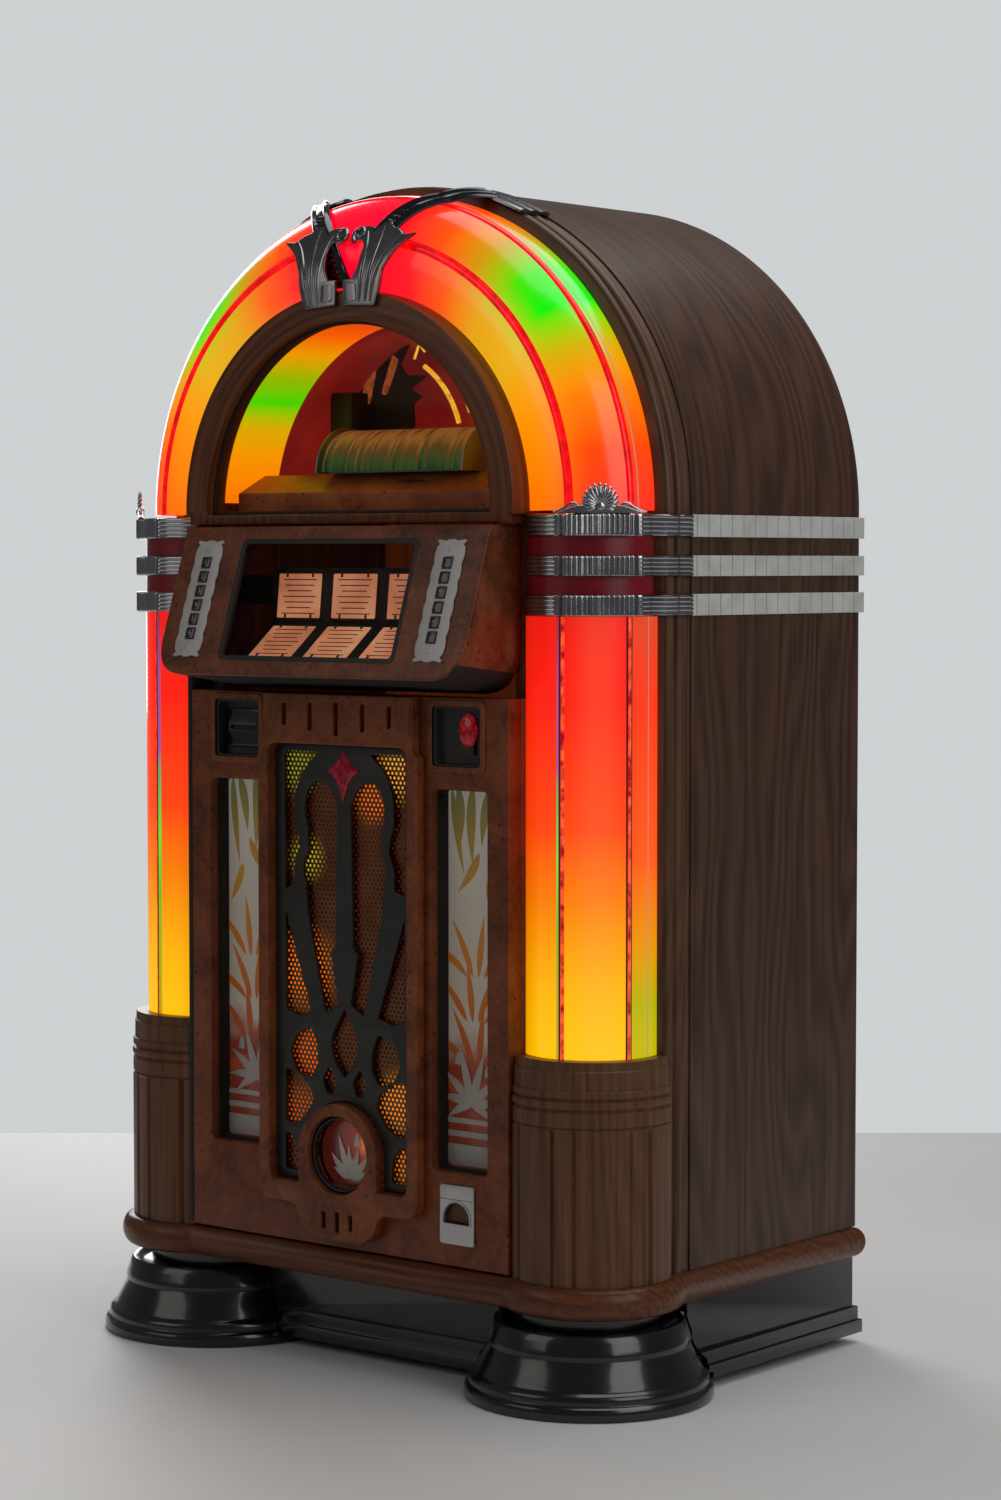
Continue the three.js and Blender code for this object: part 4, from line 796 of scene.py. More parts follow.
def base_board():
    """Board under the case with a bullnose edge that swells round each column."""
    low, high = box_mm("base_moulding")[0].z, box_mm("base_moulding")[1].z
    side, front, corner = 453.0, -259.0, 126.0
    nose, steps = 14.0, 12
    back = box_mm("base_moulding")[1].y
    across = math.degrees(math.acos((side - PILLAR_X) / corner))
    ahead = math.degrees(math.asin((PILLAR_Y - front) / corner))
    right = arc(PILLAR_X, PILLAR_Y, corner, -180 + ahead, across, 48)
    left = [(-x, y) for x, y in right[::-1]]
    outline = [(-side, back)] + left + right + [(side, back)]
    half = (high - low) / 2
    levels = []
    for i in range(steps + 1):
        turn = -math.pi / 2 + math.pi * i / steps
        levels.append((nose - nose * math.cos(turn), low + half + half * math.sin(turn)))
    piece("base_board", stack(outline, levels), LOOKS["base"], "cabinet", ["base_moulding"], 30)


# radius and height of a foot, from the floor up to the dish round its neck
FOOT_BELL = ((160, 0.0), (163.5, 1.0), (165, 4), (165, 12), (163, 16.5), (159.6, 18.5), (158.4, 20.5),
             (158.8, 24), (158, 29), (155.5, 32.5), (151.5, 34.5), (150, 37), (148.4, 40), (145.4, 46),
             (141.5, 53), (137.6, 61), (134.4, 68), (133.4, 71), (134, 73), (134.6, 76), (134, 79),
             (132.4, 84), (129.4, 93), (127, 100), (124.6, 102.6), (121.4, 103), (117, 101.4), (113, 97.5),
             (108, 95), (98, 94))
NECK_R = 98


def feet():
    top = box_mm("base_moulding")[0].z - GAP
    profile = [(AXIS, 0.0), *FOOT_BELL, (NECK_R, top), (AXIS, top)]
    for side, sign in SIDES:
        bm = lathe(profile, sign * FOOT.x, FOOT.y, 128)
        piece("bell_foot_" + side, bm, LOOKS["lacquer"], "cabinet", ["foot_" + side])


COLUMN_R, COLUMN_MIDDLE = 110.0, 45.0
COLUMN_FROM, COLUMN_SPAN, COLUMN_STEPS = -36, 146, 420
COLUMN_DOOR_SIDE = 287.0
# each groove: angle from the middle stave, width, depth
COLUMN_GROOVES = ((20.0, 1.3, 3.6), (36.0, 1.6, 5.5), (67.0, 1.6, 5.5))
STAVES_BELOW = 88
# offset from the radius and height from the top of the collar's mouldings
COLLAR = ((0, -84), (0.2, -78), (0, -66), (-2.6, -63), (-2.6, -62), (0.6, -60), (1.2, -56), (0.6, -51.5),
          (-2.6, -49.5), (-2.6, -48.5), (0, -46.5), (0, -39), (-1.2, -37.5), (-2.6, -37), (-2.8, -13),
          (-4.4, -11.5), (-4.6, -1), (-5.4, 0))


def stave_relief(angle):
    """Depth below the middle stave: a groove at each edge, and a step down beside the middle stave."""
    away = abs(angle - COLUMN_MIDDLE)
    depth = 0.0 if away < COLUMN_GROOVES[0][0] else 1.0
    for edge, width, deep in COLUMN_GROOVES:
        depth = max(depth, deep * math.exp(-(((away - edge) / width) ** 2)))
    outer = [abs(away - edge) for edge, width, deep in COLUMN_GROOVES[1:]]
    if away > COLUMN_GROOVES[1][0] and min(outer) > 2:
        depth -= 1.0
    return depth


def columns():
    """Staves of unequal width under a collar with two lines."""
    bead_side = BEAD_FRONT - GAP
    low, high = box_mm("column_right")[0].z, box_mm("column_right")[1].z
    collar = [(0, 0.0), (0, high - low - 87), (-1.8, high - low - 86.6), (-1.8, high - low - 85.4)]
    collar += [(-0.4 + offset, high - low + z) for offset, z in COLLAR]
    levels = [(offset, low + z) for offset, z in collar]
    levels += [(0, high - z) for z in (92, 90.5, 89, STAVES_BELOW)]
    levels.sort(key=lambda item: item[1])
    for side, sign in SIDES:
        bm = bmesh.new()
        rows = []
        for offset, z in levels:
            share = min(max((high - STAVES_BELOW - z) / 2, 0.0), 1.0)
            row = []
            for i in range(COLUMN_STEPS + 1):
                angle = COLUMN_FROM + COLUMN_SPAN * i / COLUMN_STEPS
                x, y = around(PILLAR_X, PILLAR_Y, COLUMN_R + offset - stave_relief(angle) * share, angle)
                row.append((max(x, COLUMN_DOOR_SIDE), min(y, bead_side), z))
            row.append((COLUMN_DOOR_SIDE, bead_side, z))
            rows.append(row)
        skin(bm, rows)
        piece("fluted_column_" + side, mirrored(bm, sign), LOOKS["column"], "cabinet", ["column_" + side],
              24)


# ---------------------------------------------------------------- lit plastic
def plastic_section(radius, start, end, ridges):
    """(radius, angle) points of the bent sheet, outside and back along the inside."""
    thick, ridge = 5.0, 2.0
    outside = []
    steps = 150
    for i in range(steps + 1):
        angle = start + (end - start) * i / steps
        lift = sum(ridge * math.exp(-(((angle - centre) / 2.6) ** 4)) for centre in ridges)
        outside.append((radius + lift, angle))
    inside = [(radius - thick, end - (end - start - 1.5) * i / 60) for i in range(61)]
    return outside + inside


def lit_plastic():
    section = plastic_section(PILLAR_R, PILLAR_FROM, PILLAR_TO, PILLAR_RIDGES)
    for side, sign in SIDES:
        bm = bmesh.new()
        rows = []
        for z in (PILLAR_LOW, PILLAR_HIGH):
            rows.append([(*around(PILLAR_X, PILLAR_Y, radius, angle), z) for radius, angle in section])
        skin(bm, rows)
        piece("lit_pillar_" + side, mirrored(bm, sign), LOOKS["pillar_light"], "cabinet", ["pillar_" + side])
    bm = bmesh.new()
    section = plastic_section(TUBE_R, TUBE_FROM, TUBE_TO, ARCH_RIDGES)
    low = math.asin((BAND_LEVELS[2][1] + GAP - SPRING) / TUBE_X)
    steps = 200
    rows = []
    for i in range(steps + 1):
        turn = low + (math.pi - 2 * low) * i / steps
        row = []
        for radius, angle in section:
            out, y = around(TUBE_X, TUBE_Y, radius, angle)
            row.append((out * math.cos(turn), y, SPRING + out * math.sin(turn)))
        rows.append(row)
    skin(bm, rows)
    floor = box_mm("arch_plastic")[0].z
    for vert in bm.verts:
        vert.co.z = max(vert.co.z, floor)
    piece("lit_arch", bm, LOOKS["arch_light"], "cabinet", ["arch_plastic"])


# ---------------------------------------------------------------- chrome bands
BAND_FROM = -38.0
BULGE_AT, BULGE_HALF, BULGE_R = 43.0, 28.5, 102.0
FLUTES = 14
RIB_R = 92.0


def band_radius(angle, flute=2.2):
    """Plan of a band round the pillar: ribbed, a narrow ogee, a fluted bulge, an ogee, ribbed."""
    away = abs(angle - BULGE_AT)
    if away < BULGE_HALF:
        crown = BULGE_R - 3.0 * (away / BULGE_HALF) ** 4
        wave = abs(math.sin(math.pi * FLUTES * (angle - BULGE_AT) / (2 * BULGE_HALF)))
        fade = min((BULGE_HALF - away) / 2.0, 1.0)
        return crown - flute * fade * (1 - wave)
    blend = min((away - BULGE_HALF) / 9.0, 1.0)
    dip = math.sin(math.pi * blend)
    return BULGE_R - 3 - (BULGE_R - 3 - RIB_R) * blend - 4.5 * dip


def reed(height, count=5, depth=1.6):
    """Horizontal reeds over a band's height, from nought to one."""
    return depth * abs(math.sin(math.pi * count * height))


def band_path():
    """Plan points of a band with the share of horizontal reeding at each."""
    path = []
    angle = BAND_FROM
    while angle <= 94.0:
        away = abs(angle - BULGE_AT)
        share = min(max((away - BULGE_HALF - 9.0) / 1.5, 0.0), 1.0)
        normal = (math.sin(math.radians(angle)), -math.cos(math.radians(angle)))
        path.append((around(PILLAR_X, PILLAR_Y, band_radius(angle), angle), normal, share))
        angle += 0.65
    beads = CASE_R + 6.0
    for i in range(41):
        y = BEAD_FRONT - 2 + (CASE_FRONT - BEAD_FRONT) * i / 40
        bead = 1.6 * abs(math.sin(math.pi * 2 * i / 40))
        path.append(((beads - 1.6 + bead, y), (1.0, 0.0), 1.0))
    return path


def band_rings():
    path = band_path()
    inner_x, inner_y = PILLAR_X + 74.0, BEAD_FRONT - 1
    for side, sign in SIDES:
        for level, (low, high) in enumerate(BAND_LEVELS):
            bm = bmesh.new()
            rows = []
            for (x, y), (nx, ny), share in path:
                row = []
                for i in range(31):
                    height = i / 30
                    edge = (1.6 if share else 2.6) * max(1 - min(i, 30 - i) / 2.5, 0.0) ** 2
                    sink = -1.6 * share + reed(height) * share - edge
                    row.append((x + nx * sink, y + ny * sink, low + (high - low) * height))
                if y > BEAD_FRONT - 3:
                    back = (CASE_R + GAP, y)
                elif math.hypot(x - PILLAR_X, y - PILLAR_Y) > RIB_R + 20:
                    back = (inner_x, inner_y)
                else:
                    reach = 77.0 / max(math.hypot(x - PILLAR_X, y - PILLAR_Y), 1.0)
                    back = (PILLAR_X + (x - PILLAR_X) * reach, PILLAR_Y + (y - PILLAR_Y) * reach)
                row += [(back[0], back[1], high), (back[0], back[1], low)]
                rows.append(row)
            skin(bm, rows)
            piece("band_%d_%s" % (level + 1, side), mirrored(bm, sign), LOOKS["chrome"], "cabinet",
                  ["bands_" + side], 32)


def band_sleeves():
    low, high = BAND_LEVELS[0][0] + 1, BAND_LEVELS[2][1] - 1
    for side, sign in SIDES:
        outside = [around(PILLAR_X, PILLAR_Y, PILLAR_R - 0.5, BAND_FROM + 138 * i / 90) for i in range(91)]
        inside = [around(PILLAR_X, PILLAR_Y, 78, 100 - 138 * i / 60) for i in range(61)]
        bm = bmesh.new()
        skin(bm, [[(x, y, z) for x, y in outside + inside] for z in (low, high)])
        piece("band_sleeve_" + side, mirrored(bm, sign), LOOKS["sleeve"], "cabinet", ["bands_" + side])


def band_tiles():
    """Pale tiles along the case, with open joints, and a narrow first tile where they meet the band."""
    start, end = CASE_FRONT + 8, CASE_BACK - 1
    count = 15
    pitch = (end - start) / count
    low_x, high_x = CASE_R + GAP, CASE_R + 3
    for side, sign in SIDES:
        bm = bmesh.new()
        bed = bmesh.new()
        for low, high in BAND_LEVELS:
            skin(bed, [[(x, y, z) for y, z in rectangle(CASE_FRONT - 1.2, end, low + 0.6, high - 0.6)]
                       for x in (low_x, low_x + 0.9)])
            spans = [(CASE_FRONT - 1.5, start - 0.8)]
            spans += [(start + i * pitch + 0.7, start + (i + 1) * pitch - 0.7) for i in range(count)]
            for y0, y1 in spans:
                plan = [(y0, low), (y1, low), (y1, high), (y0, high)]
                rows = []
                for cut, x in ((0.0, low_x + 0.5), (0.0, high_x - 0.7), (0.7, high_x)):
                    rows.append([(x, p[0], p[1]) for p in inset(plan, cut)])
                skin(bm, rows)
        piece("band_tiles_" + side, mirrored(bm, sign), LOOKS["tile"], "cabinet", ["bands_" + side])
        piece("band_tile_bed_" + side, mirrored(bed, sign), LOOKS["inside"], "cabinet", ["bands_" + side])


def band_fans():
    """A fluted shell with a scroll on each side, standing on the top band."""
    top = BAND_LEVELS[2][1]
    for side, sign in SIDES:
        bm = bmesh.new()
        hub = Vector((0, 0, 9))
        ribs, spread = 15, math.radians(106)
        for i in range(ribs):
            turn = -spread + 2 * spread * i / (ribs - 1)
            reach = 24 + 7 * math.cos(turn)
            tip = hub + Vector((math.sin(turn) * reach * 0.95, 0, math.cos(turn) * reach * 0.95))
            tip.z = max(tip.z, 2.0)
            points = [hub.lerp(tip, t) + Vector((0, -2.5 * math.sin(math.pi * t), 0)) for t in
                      (0, 0.25, 0.5, 0.75, 0.92, 1.0)]
            tube(bm, points, [1.2, 1.8, 2.4, 3.0, 2.8, 1.2], 10)
        knob = [hub + Vector((0, t, 0)) for t in (-7, -6, -2, 5)]
        rows = [[p + Vector((math.cos(a) * r, 0, math.sin(a) * r)) for a in
                 [2 * math.pi * k / 16 for k in range(16)]] for p, r in zip(knob, (2.0, 5.0, 6.5, 6.5))]
        skin(bm, rows)
        for hand in (-1, 1):
            scroll = bezier((hand * 26, 0, 6), (hand * 32, 0, 17), (hand * 42, 0, 9), 10)
            tail = bezier((hand * 42, 0, 9), (hand * 50, 0, 3), (hand * 60, 0, 1.6), 10)
            tube(bm, scroll + tail[1:], [3.2 - 0.1 * k for k in range(21)], 12)
        base = plate([rounded([(-60, 0), (60, 0), (44, 5), (30, 10), (-30, 10), (-44, 5)], 4)], -4, 4, 1.0)
        bm = merged(bm, base)
        spot = around(PILLAR_X, PILLAR_Y, 95, BULGE_AT)
        bm.transform(Matrix.Translation((spot[0], spot[1], top)) @ Matrix.Rotation(math.pi / 4, 4, "Z"))
        piece("band_fan_" + side, mirrored(bm, sign), LOOKS["chrome"], "cabinet", ["bands_" + side],
              50)


# ---------------------------------------------------------------- crowns
def torus_point(along, away, lift, shift=0.0):
    """A point over the lit arch: along its section, away from the top, lifted and shifted sideways."""
    turn, side = math.radians(along), math.radians(away)
    out = TUBE_X + (TUBE_R + lift) * math.sin(turn)
    return Vector((out * math.sin(side) + shift * math.cos(side), TUBE_Y - (TUBE_R + lift) * math.cos(turn),
                   SPRING + out * math.cos(side) - shift * math.sin(side)))


def crown_arm():
    """A ribbed arm that lies over the arch and narrows to the clasp."""
    start, end = -24.0, 98.0
    steps = 120
    rows = []
    for i in range(steps + 1):
        t = i / steps
        along = start + (end - start) * t
        away = 4.5 + 15 * t ** 1.4
        lift = 5 + (0.5 * (along - 70) if along > 70 else 0)
        half = 19 - 4 * t
        tread = 1.5 * (0.5 + 0.5 * math.cos(2 * math.pi * t * 26)) if t < 0.55 else 0.0
        profile = [(-half, 0), (-half, 3), (-half * 0.86, 6.0), (-half * 0.66, 8.0), (-half * 0.5, 7.0),
                   (-half * 0.34, 4.2 + tread), (0, 4.8 + tread), (half * 0.34, 4.2 + tread),
                   (half * 0.5, 7.0), (half * 0.66, 8.0), (half * 0.86, 6.0), (half, 3), (half, 0)]
        rows.append([torus_point(along, away, lift + h, s) for s, h in profile])
    bm = bmesh.new()
    skin(bm, rows)
    return bm


# outline of the bracket in X and Z, and the raised reeds on it as cubic curves
LEAF = ((7, 1432, 3), (62, 1429, 3), (70, 1452), (74, 1478), (88, 1502), (114, 1523, 1), (96, 1521),
        (86, 1530), (74, 1533), (66, 1541, 3), (48, 1542, 3), (44, 1533), (30, 1538), (14, 1537), (5, 1529),
        (7, 1519, 3), (17, 1517, 3), (27, 1518), (33, 1506), (30, 1482), (22, 1466, 3), (7, 1466, 3))
LEAF_REEDS = (((36, 1435), (40, 1470), (42, 1505), (30, 1530)),
              ((47, 1435), (51, 1472), (58, 1505), (57, 1536)),
              ((56, 1434), (61, 1468), (70, 1504), (92, 1522)))
LEAF_BENDS_AT, LEAF_LEAN = 1462, 27


def crown_leaf():
    """The bracket: a square foot on the wood, a stem and plumes that lean back over the plastic."""
    outline = rounded(LEAF, 6)
    front, back = ARCH_FRONT - 7.0, ARCH_FRONT - GAP
    bm = plate([outline], front, back, 1.4, 3)
    face = front + 0.8
    steps = 28
    for p0, p1, p2, p3 in LEAF_REEDS:
        points = []
        for k in range(steps + 1):
            t = k / steps
            weights = ((1 - t) ** 3, 3 * t * (1 - t) ** 2, 3 * t * t * (1 - t), t ** 3)
            points.append((sum(w * p[0] for w, p in zip(weights, (p0, p1, p2, p3))), face,
                           sum(w * p[1] for w, p in zip(weights, (p0, p1, p2, p3)))))
        tube(bm, points, [1.0 + 3.0 * math.sin(math.pi * min(k / steps * 0.8 + 0.12, 1.0))
                          for k in range(steps + 1)], 12)
    scroll = []
    steps = 43
    for k in range(steps + 1):
        t = k / steps
        turn = math.radians(-70 + 420 * t)
        reach = 11.0 * (1 - 0.7 * t)
        scroll.append((17 - reach * math.cos(turn), face - 0.6, 1527 + reach * math.sin(turn)))
    tube(bm, scroll, [3.4 - 1.6 * k / steps for k in range(steps + 1)], 12)
    pad = rounded([(11, 1437), (32, 1436), (30, 1460), (11, 1461)], 4)
    pad = plate([pad], front - 1.2, front + 1, 0.8, 2)
    bm = merged(bm, pad)
    bmesh.ops.subdivide_edges(bm, edges=[e for e in bm.edges if e.calc_length() > 9], cuts=2,
                              use_grid_fill=True)
    for vert in bm.verts:
        lean = max(vert.co.z - LEAF_BENDS_AT, 0) / 70
        vert.co.y += LEAF_LEAN * min(lean, 1.15) ** 1.6
    return bm


def crown_clasp():
    """A plate bent over the beads that ends the arm, with three reeds."""
    rows = []
    low_y, high_y = BEAD_FRONT - 6, CASE_FRONT + 10
    for i in range(41):
        t = i / 40
        away = math.radians(14.6 + 12.4 * t)
        row = []
        shrink = 6 * (2 * t - 1) ** 2
        for k in range(33):
            s = k / 32
            y = low_y + shrink + (high_y - low_y - 2 * shrink) * s
            raised = 2.0 * abs(math.sin(math.pi * 3 * s)) if 0 < k < 32 else 0
            out = CASE_R + 4.0 + raised
            row.append((out * math.sin(away), y, SPRING + out * math.cos(away)))
        for y in (high_y - shrink, low_y + shrink):
            out = CASE_R + 0.6
            row.append((out * math.sin(away), y, SPRING + out * math.cos(away)))
        rows.append(row)
    bm = bmesh.new()
    skin(bm, rows)
    return bm


def crowns():
    for side, sign in SIDES:
        made = (("crown_leaf_", crown_leaf, "pewter"), ("crown_arm_", crown_arm, "dark_chrome"),
                ("crown_clasp_", crown_clasp, "pewter"))
        for name, make, look in made:
            piece(name + side, mirrored(make(), sign), LOOKS[look], "cabinet", ["crown_" + side],
                  45)


# ---------------------------------------------------------------- title window
def arch_outline(radius, low, steps=96):
    start = math.degrees(math.asin((low - SPRING) / radius)) if low > SPRING else 0.0
    points = arc(0, SPRING, radius, start, 180 - start, steps)
    if low < SPRING:
        points = [(radius, low)] + points + [(-radius, low)]
    return points


def arch_stock():
    """Outline of the wooden arch, narrowed below the spring where the bands end."""
    step = BAND_LEVELS[2][1] + GAP
    points = arc(0, SPRING, ARCH_R, 0, 180, 96)
    side = 284.0
    right = [(side, ARCH_LOW), (side, step), (ARCH_R, step)]
    return right + points + [(-x, z) for x, z in right[::-1]]


def title_arch():
    bm = plate([arch_stock(), arch_outline(SIGHT_R, SIGHT_LOW)], ARCH_FRONT, ARCH_BACK, 3.0, 4)
    piece("title_frame", bm, LOOKS["arch"], "cabinet", ["title_arch"])
    lip = plate([arch_outline(SIGHT_R - 0.4, SIGHT_LOW + 0.4), arch_outline(SIGHT_R - 4, SIGHT_LOW + 5)],
                ARCH_FRONT + 14, ARCH_FRONT + 19, 0.8)
    piece("title_gasket", lip, LOOKS["matte"], "cabinet", ())


SHELF_Z = 1212.0
LINER_R = 258.5


def title_interior():
    """Shelf, rear wall, lozenge and curved liners behind the arch glass."""
    high = box_mm("display_stage")[1]
    # sloping fascia and shelf
    profile = rounded([(-204, 1159), (58, 1159), (58, SHELF_Z), (-150, SHELF_Z), (-204, 1186)], 2)
    bm = bmesh.new()
    skin(bm, [[(x, y, z) for y, z in profile] for x in (-236, 236)])
    piece("disc_shelf", bm, LOOKS["shelf"], "cabinet", ["display_stage"])
    wall = plate([arch_outline(299, 1166)], high.y - 4, high.y, 0.6)
    piece("back_wall", wall, LOOKS["red_wall"], "cabinet", ["display_stage"])
    slope = math.atan2(SHELF_Z - 1184, 54)
    mark = plate([rounded([(-34, 0), (-6, 7), (34, 0), (6, -7)], 3)], -0.6, 0.6, 0.3)
    mark.transform(Matrix.Translation((60, -176, 1198.9)) @ Matrix.Rotation(slope - math.pi / 2, 4, "X"))
    piece("shelf_lozenge", mark, LOOKS["matte"], "cabinet", ())
    # curved liners behind the frame: the front one lit like the arch, the rear one red
    for name, look, near_y, far_y in (("arch_liner", "liner", -206, -104),
                                      ("rear_liner", "red_wall", -103, 62)):
        liner = bmesh.new()
        rows = []
        for i in range(97):
            turn = math.radians(3 + 174 * i / 96)
            rows.append([(r * math.cos(turn), y, SPRING + r * math.sin(turn)) for r, y in
                         ((LINER_R, near_y), (LINER_R, far_y), (LINER_R + 2.3, far_y),
                          (LINER_R + 2.3, near_y))])
        skin(liner, rows)
        piece(name, liner, LOOKS[look], "cabinet", ())
    sunburst(high.y - 6)
    disc_row()


def star(cx, cz, inner, outer, count, start, end, tilt=0.35):
    """Half of a jagged sun: teeth that lean one way."""
    points = []
    for i in range(count):
        a0 = math.radians(start + (end - start) * i / count)
        a1 = math.radians(start + (end - start) * (i + tilt) / count)
        reach = outer * (0.86 + 0.14 * math.sin(i * 2.3))
        points.append((cx + inner * math.cos(a0), cz + inner * math.sin(a0)))
        points.append((cx + reach * math.cos(a1), cz + reach * math.sin(a1)))
    return points


def sunburst(back):
    """Backdrop: a black jagged sun with amber openings and amber arcs beside it."""
    front = back - 60
    burst = star(-196, 1306, 104, 142, 30, 4, 356)
    bm = plate([burst], front, front + 3, 0.5)
    piece("sunburst", bm, LOOKS["inside"], "cabinet", ())
    flame = star(-268, 1284, 12, 34, 9, 0, 360, 0.5)
    rays = [rounded([(-236, 1330), (-226, 1334), (-196, 1396), (-206, 1404)], 4),
            rounded([(-186, 1318), (-172, 1314), (-160, 1362), (-168, 1392), (-182, 1366)], 7),
            rounded([(-150, 1330), (-140, 1326), (-118, 1376), (-128, 1384)], 4)]
    bm = plate([flame], front - 2.4, front - 0.4, 0.4)
    for ray in rays:
        bm = merged(bm, plate([ray], front - 2.4, front - 0.4, 0.4))
    piece("sunburst_flames", bm, LOOKS["flame"], "cabinet", ())
    bm = bmesh.new()
    for radius, start, end, thick in ((150, 20, 62, 3.6), (176, 22, 52, 2.6), (205, 16, 44, 1.8)):
        points = [(-160 + x * 0.9, back - 30, z) for x, z in arc(0, 1235, radius, start, end, 40)]
        tube(bm, points, [thick] * 41, 10)
    zig = [(-112 + 9 * i, back - 34, 1384 + (10 if i % 2 else -6) + 5 * i) for i in range(7)]
    tube(bm, zig, [2.0] * 7, 8)
    piece("amber_arcs", bm, LOOKS["amber"], "cabinet", (), 60)


DISC_Y, DISC_Z, DISC_R = -125.0, 1212.4, 59.6
DISC_FROM, DISC_TO, DISC_PITCH = -98.0, 150.0, 4.1


def disc_row():
    """Discs on edge in a tray, with an end plate on each side and a rail in front."""
    y, z = DISC_Y, DISC_Z
    bm = bmesh.new()
    x = DISC_FROM
    while x < DISC_TO:
        rows = []
        for px, radius in ((x, DISC_R - 0.8), (x, DISC_R), (x + 1.2, DISC_R), (x + 1.2, DISC_R - 0.8)):
            rows.append([(px, y + radius * math.cos(a), z + radius * math.sin(a)) for a in
                         [math.radians(2 + 176 * k / 40) for k in range(41)]])
        skin(bm, rows)
        x += DISC_PITCH
    piece("disc_row", bm, LOOKS["disc"], "cabinet", ["disc_rack"])
    tray = bmesh.new()
    section = rounded([(y - 40, z), (y + 40, z), (y + 40, z + 12), (y + 36, z + 12), (y + 34, z + 3),
                       (y - 34, z + 3), (y - 36, z + 12), (y - 40, z + 12)], 1.0, 3)
    skin(tray, [[(px, py, pz) for py, pz in section] for px in (-104, 156)])
    ends = bmesh.new()
    for px in (-106.5, 152.5):
        outline = [(y + 64 * math.cos(a), z + 64 * math.sin(a)) for a in
                   [math.radians(180 * k / 48) for k in range(49)]]
        skin(ends, [[(px + dx, py, pz) for py, pz in outline] for dx in (0, 2.5)])
    rail = bmesh.new()
    section = rounded([(-44, z), (-28, z), (-28, z + 10), (-32, z + 11.6), (-40, z + 11.6), (-44, z + 10)],
                      1, 3)
    skin(rail, [[(px, py, pz) for py, pz in section] for px in (-210, 210)])
    piece("disc_tray", merged(tray, ends, rail), LOOKS["alloy"], "cabinet", ["disc_rack"])


# ---------------------------------------------------------------- lower door
def grille_opening(depth=0.0):
    half, low, high = 124 - depth, 252 + depth, 847 - depth
    surround = SURROUND_R + depth
    corner = 13
    points = [(surround, low)]
    points += [p for p in arc(half - corner, low + corner, corner, -90, 0, 8)]
    points += [p for p in arc(half - corner, high - corner, corner, 0, 90, 8)]
    points += [p for p in arc(-half + corner, high - corner, corner, 90, 180, 8)]
    points += [p for p in arc(-half + corner, low + corner, corner, 180, 270, 8)]
    points += [(-surround, low)]
    points += arc(0, ROUND_Z, surround, 180, 0, 48)
    return points


def centre_outline():
    step, half, neck, low, bump = 835, 142, 134, 222, 65
    right = [(bump - 20, 178, 22), (bump, 192, 16), (bump + 10, low, 20), (half, low, 24), (half, step, 6),
             (neck, step + 6, 4), (neck, DOOR_HIGH.z, 1)]
    left = [(-x, z, r) for x, z, r in right[::-1]]
    return rounded(right + left, 8, 8)


def both_sides(x0, x1, z0, z1, radius, sign):
    """A rounded rectangle on the right of the door, or its twin on the left."""
    return rectangle(x0, x1, z0, z1, radius) if sign > 0 else rectangle(-x1, -x0, z0, z1, radius)


def door_boards():
    windows = [both_sides(WINDOW_X[0], WINDOW_X[1], WINDOW_Z[0], WINDOW_Z[1], 7, s) for s in (-1, 1)]
    coins = [both_sides(COIN_LOW.x - GAP, COIN_HIGH.x + GAP, COIN_LOW.z - GAP, COIN_HIGH.z + GAP, 6, s)
             for s in (-1, 1)]
    grille = rectangle(-124, 124, 252, 847, 6)
    cup = rectangle(RETURN_LOW.x + 4, RETURN_HIGH.x - 4, 204, 267)
    outline = rectangle(DOOR_LOW.x, DOOR_HIGH.x, DOOR_LOW.z, DOOR_HIGH.z)
    board = plate([outline, *windows, *coins, grille, cup], DOOR_LOW.y, DOOR_HIGH.y, 1.6, 3)
    piece("door_board", board, LOOKS["door"], "lower_door", ["lower_door_panel"])
    slots = []
    for x, z0, z1 in ((-94, 872, 902), (-47, 866, 903), (0, 860, 905), (47, 866, 903), (94, 872, 902),
                      (-24, 194, 216), (0, 190, 218), (24, 194, 216)):
        slots.append(rectangle(x - 3.6, x + 3.6, z0, z1, 2.6))
    pocket = arc(0, ROUND_Z, ROUND_R, 0, 360 - 360 / 72, 71)
    panel = plate([centre_outline(), grille_opening(), pocket, *slots], PANEL_FRONT, DOOR_LOW.y - GAP, 2.4, 4)
    piece("raised_panel", panel, LOOKS["panel"], "lower_door", ["centre_panel"])


CASTING_LOOPS = (
    [(12, 768), (22, 786), (36, 796), (50, 798), (62, 790), (70, 774), (72, 752), (66, 734, 4), (64, 704, 4),
     (73, 690), (74, 668), (69, 655, 4), (66, 614, 4), (35, 484, 4), (11, 497, 4), (24, 566, 3),
     (16, 574, 3)],
    [(108, 836), (46, 836), (62, 822), (78, 806), (88, 780), (90, 745), (82, 722, 4), (80, 705, 4), (90, 684),
     (90, 656, 4), (108, 648, 4)],
    [(107, 618, 3), (60, 484, 3), (84, 476, 3), (107, 482)],
    [(60, 462), (88, 450), (100, 424), (88, 400), (62, 392), (48, 412), (50, 440)],
    [(28, 412), (40, 392), (32, 374), (20, 374), (14, 392)],
    [(108, 402), (84, 396), (62, 380), (56, 362), (78, 334), (96, 326), (108, 330)],
    [(108, 314), (98, 312), (86, 296), (84, 264), (108, 264)],
)


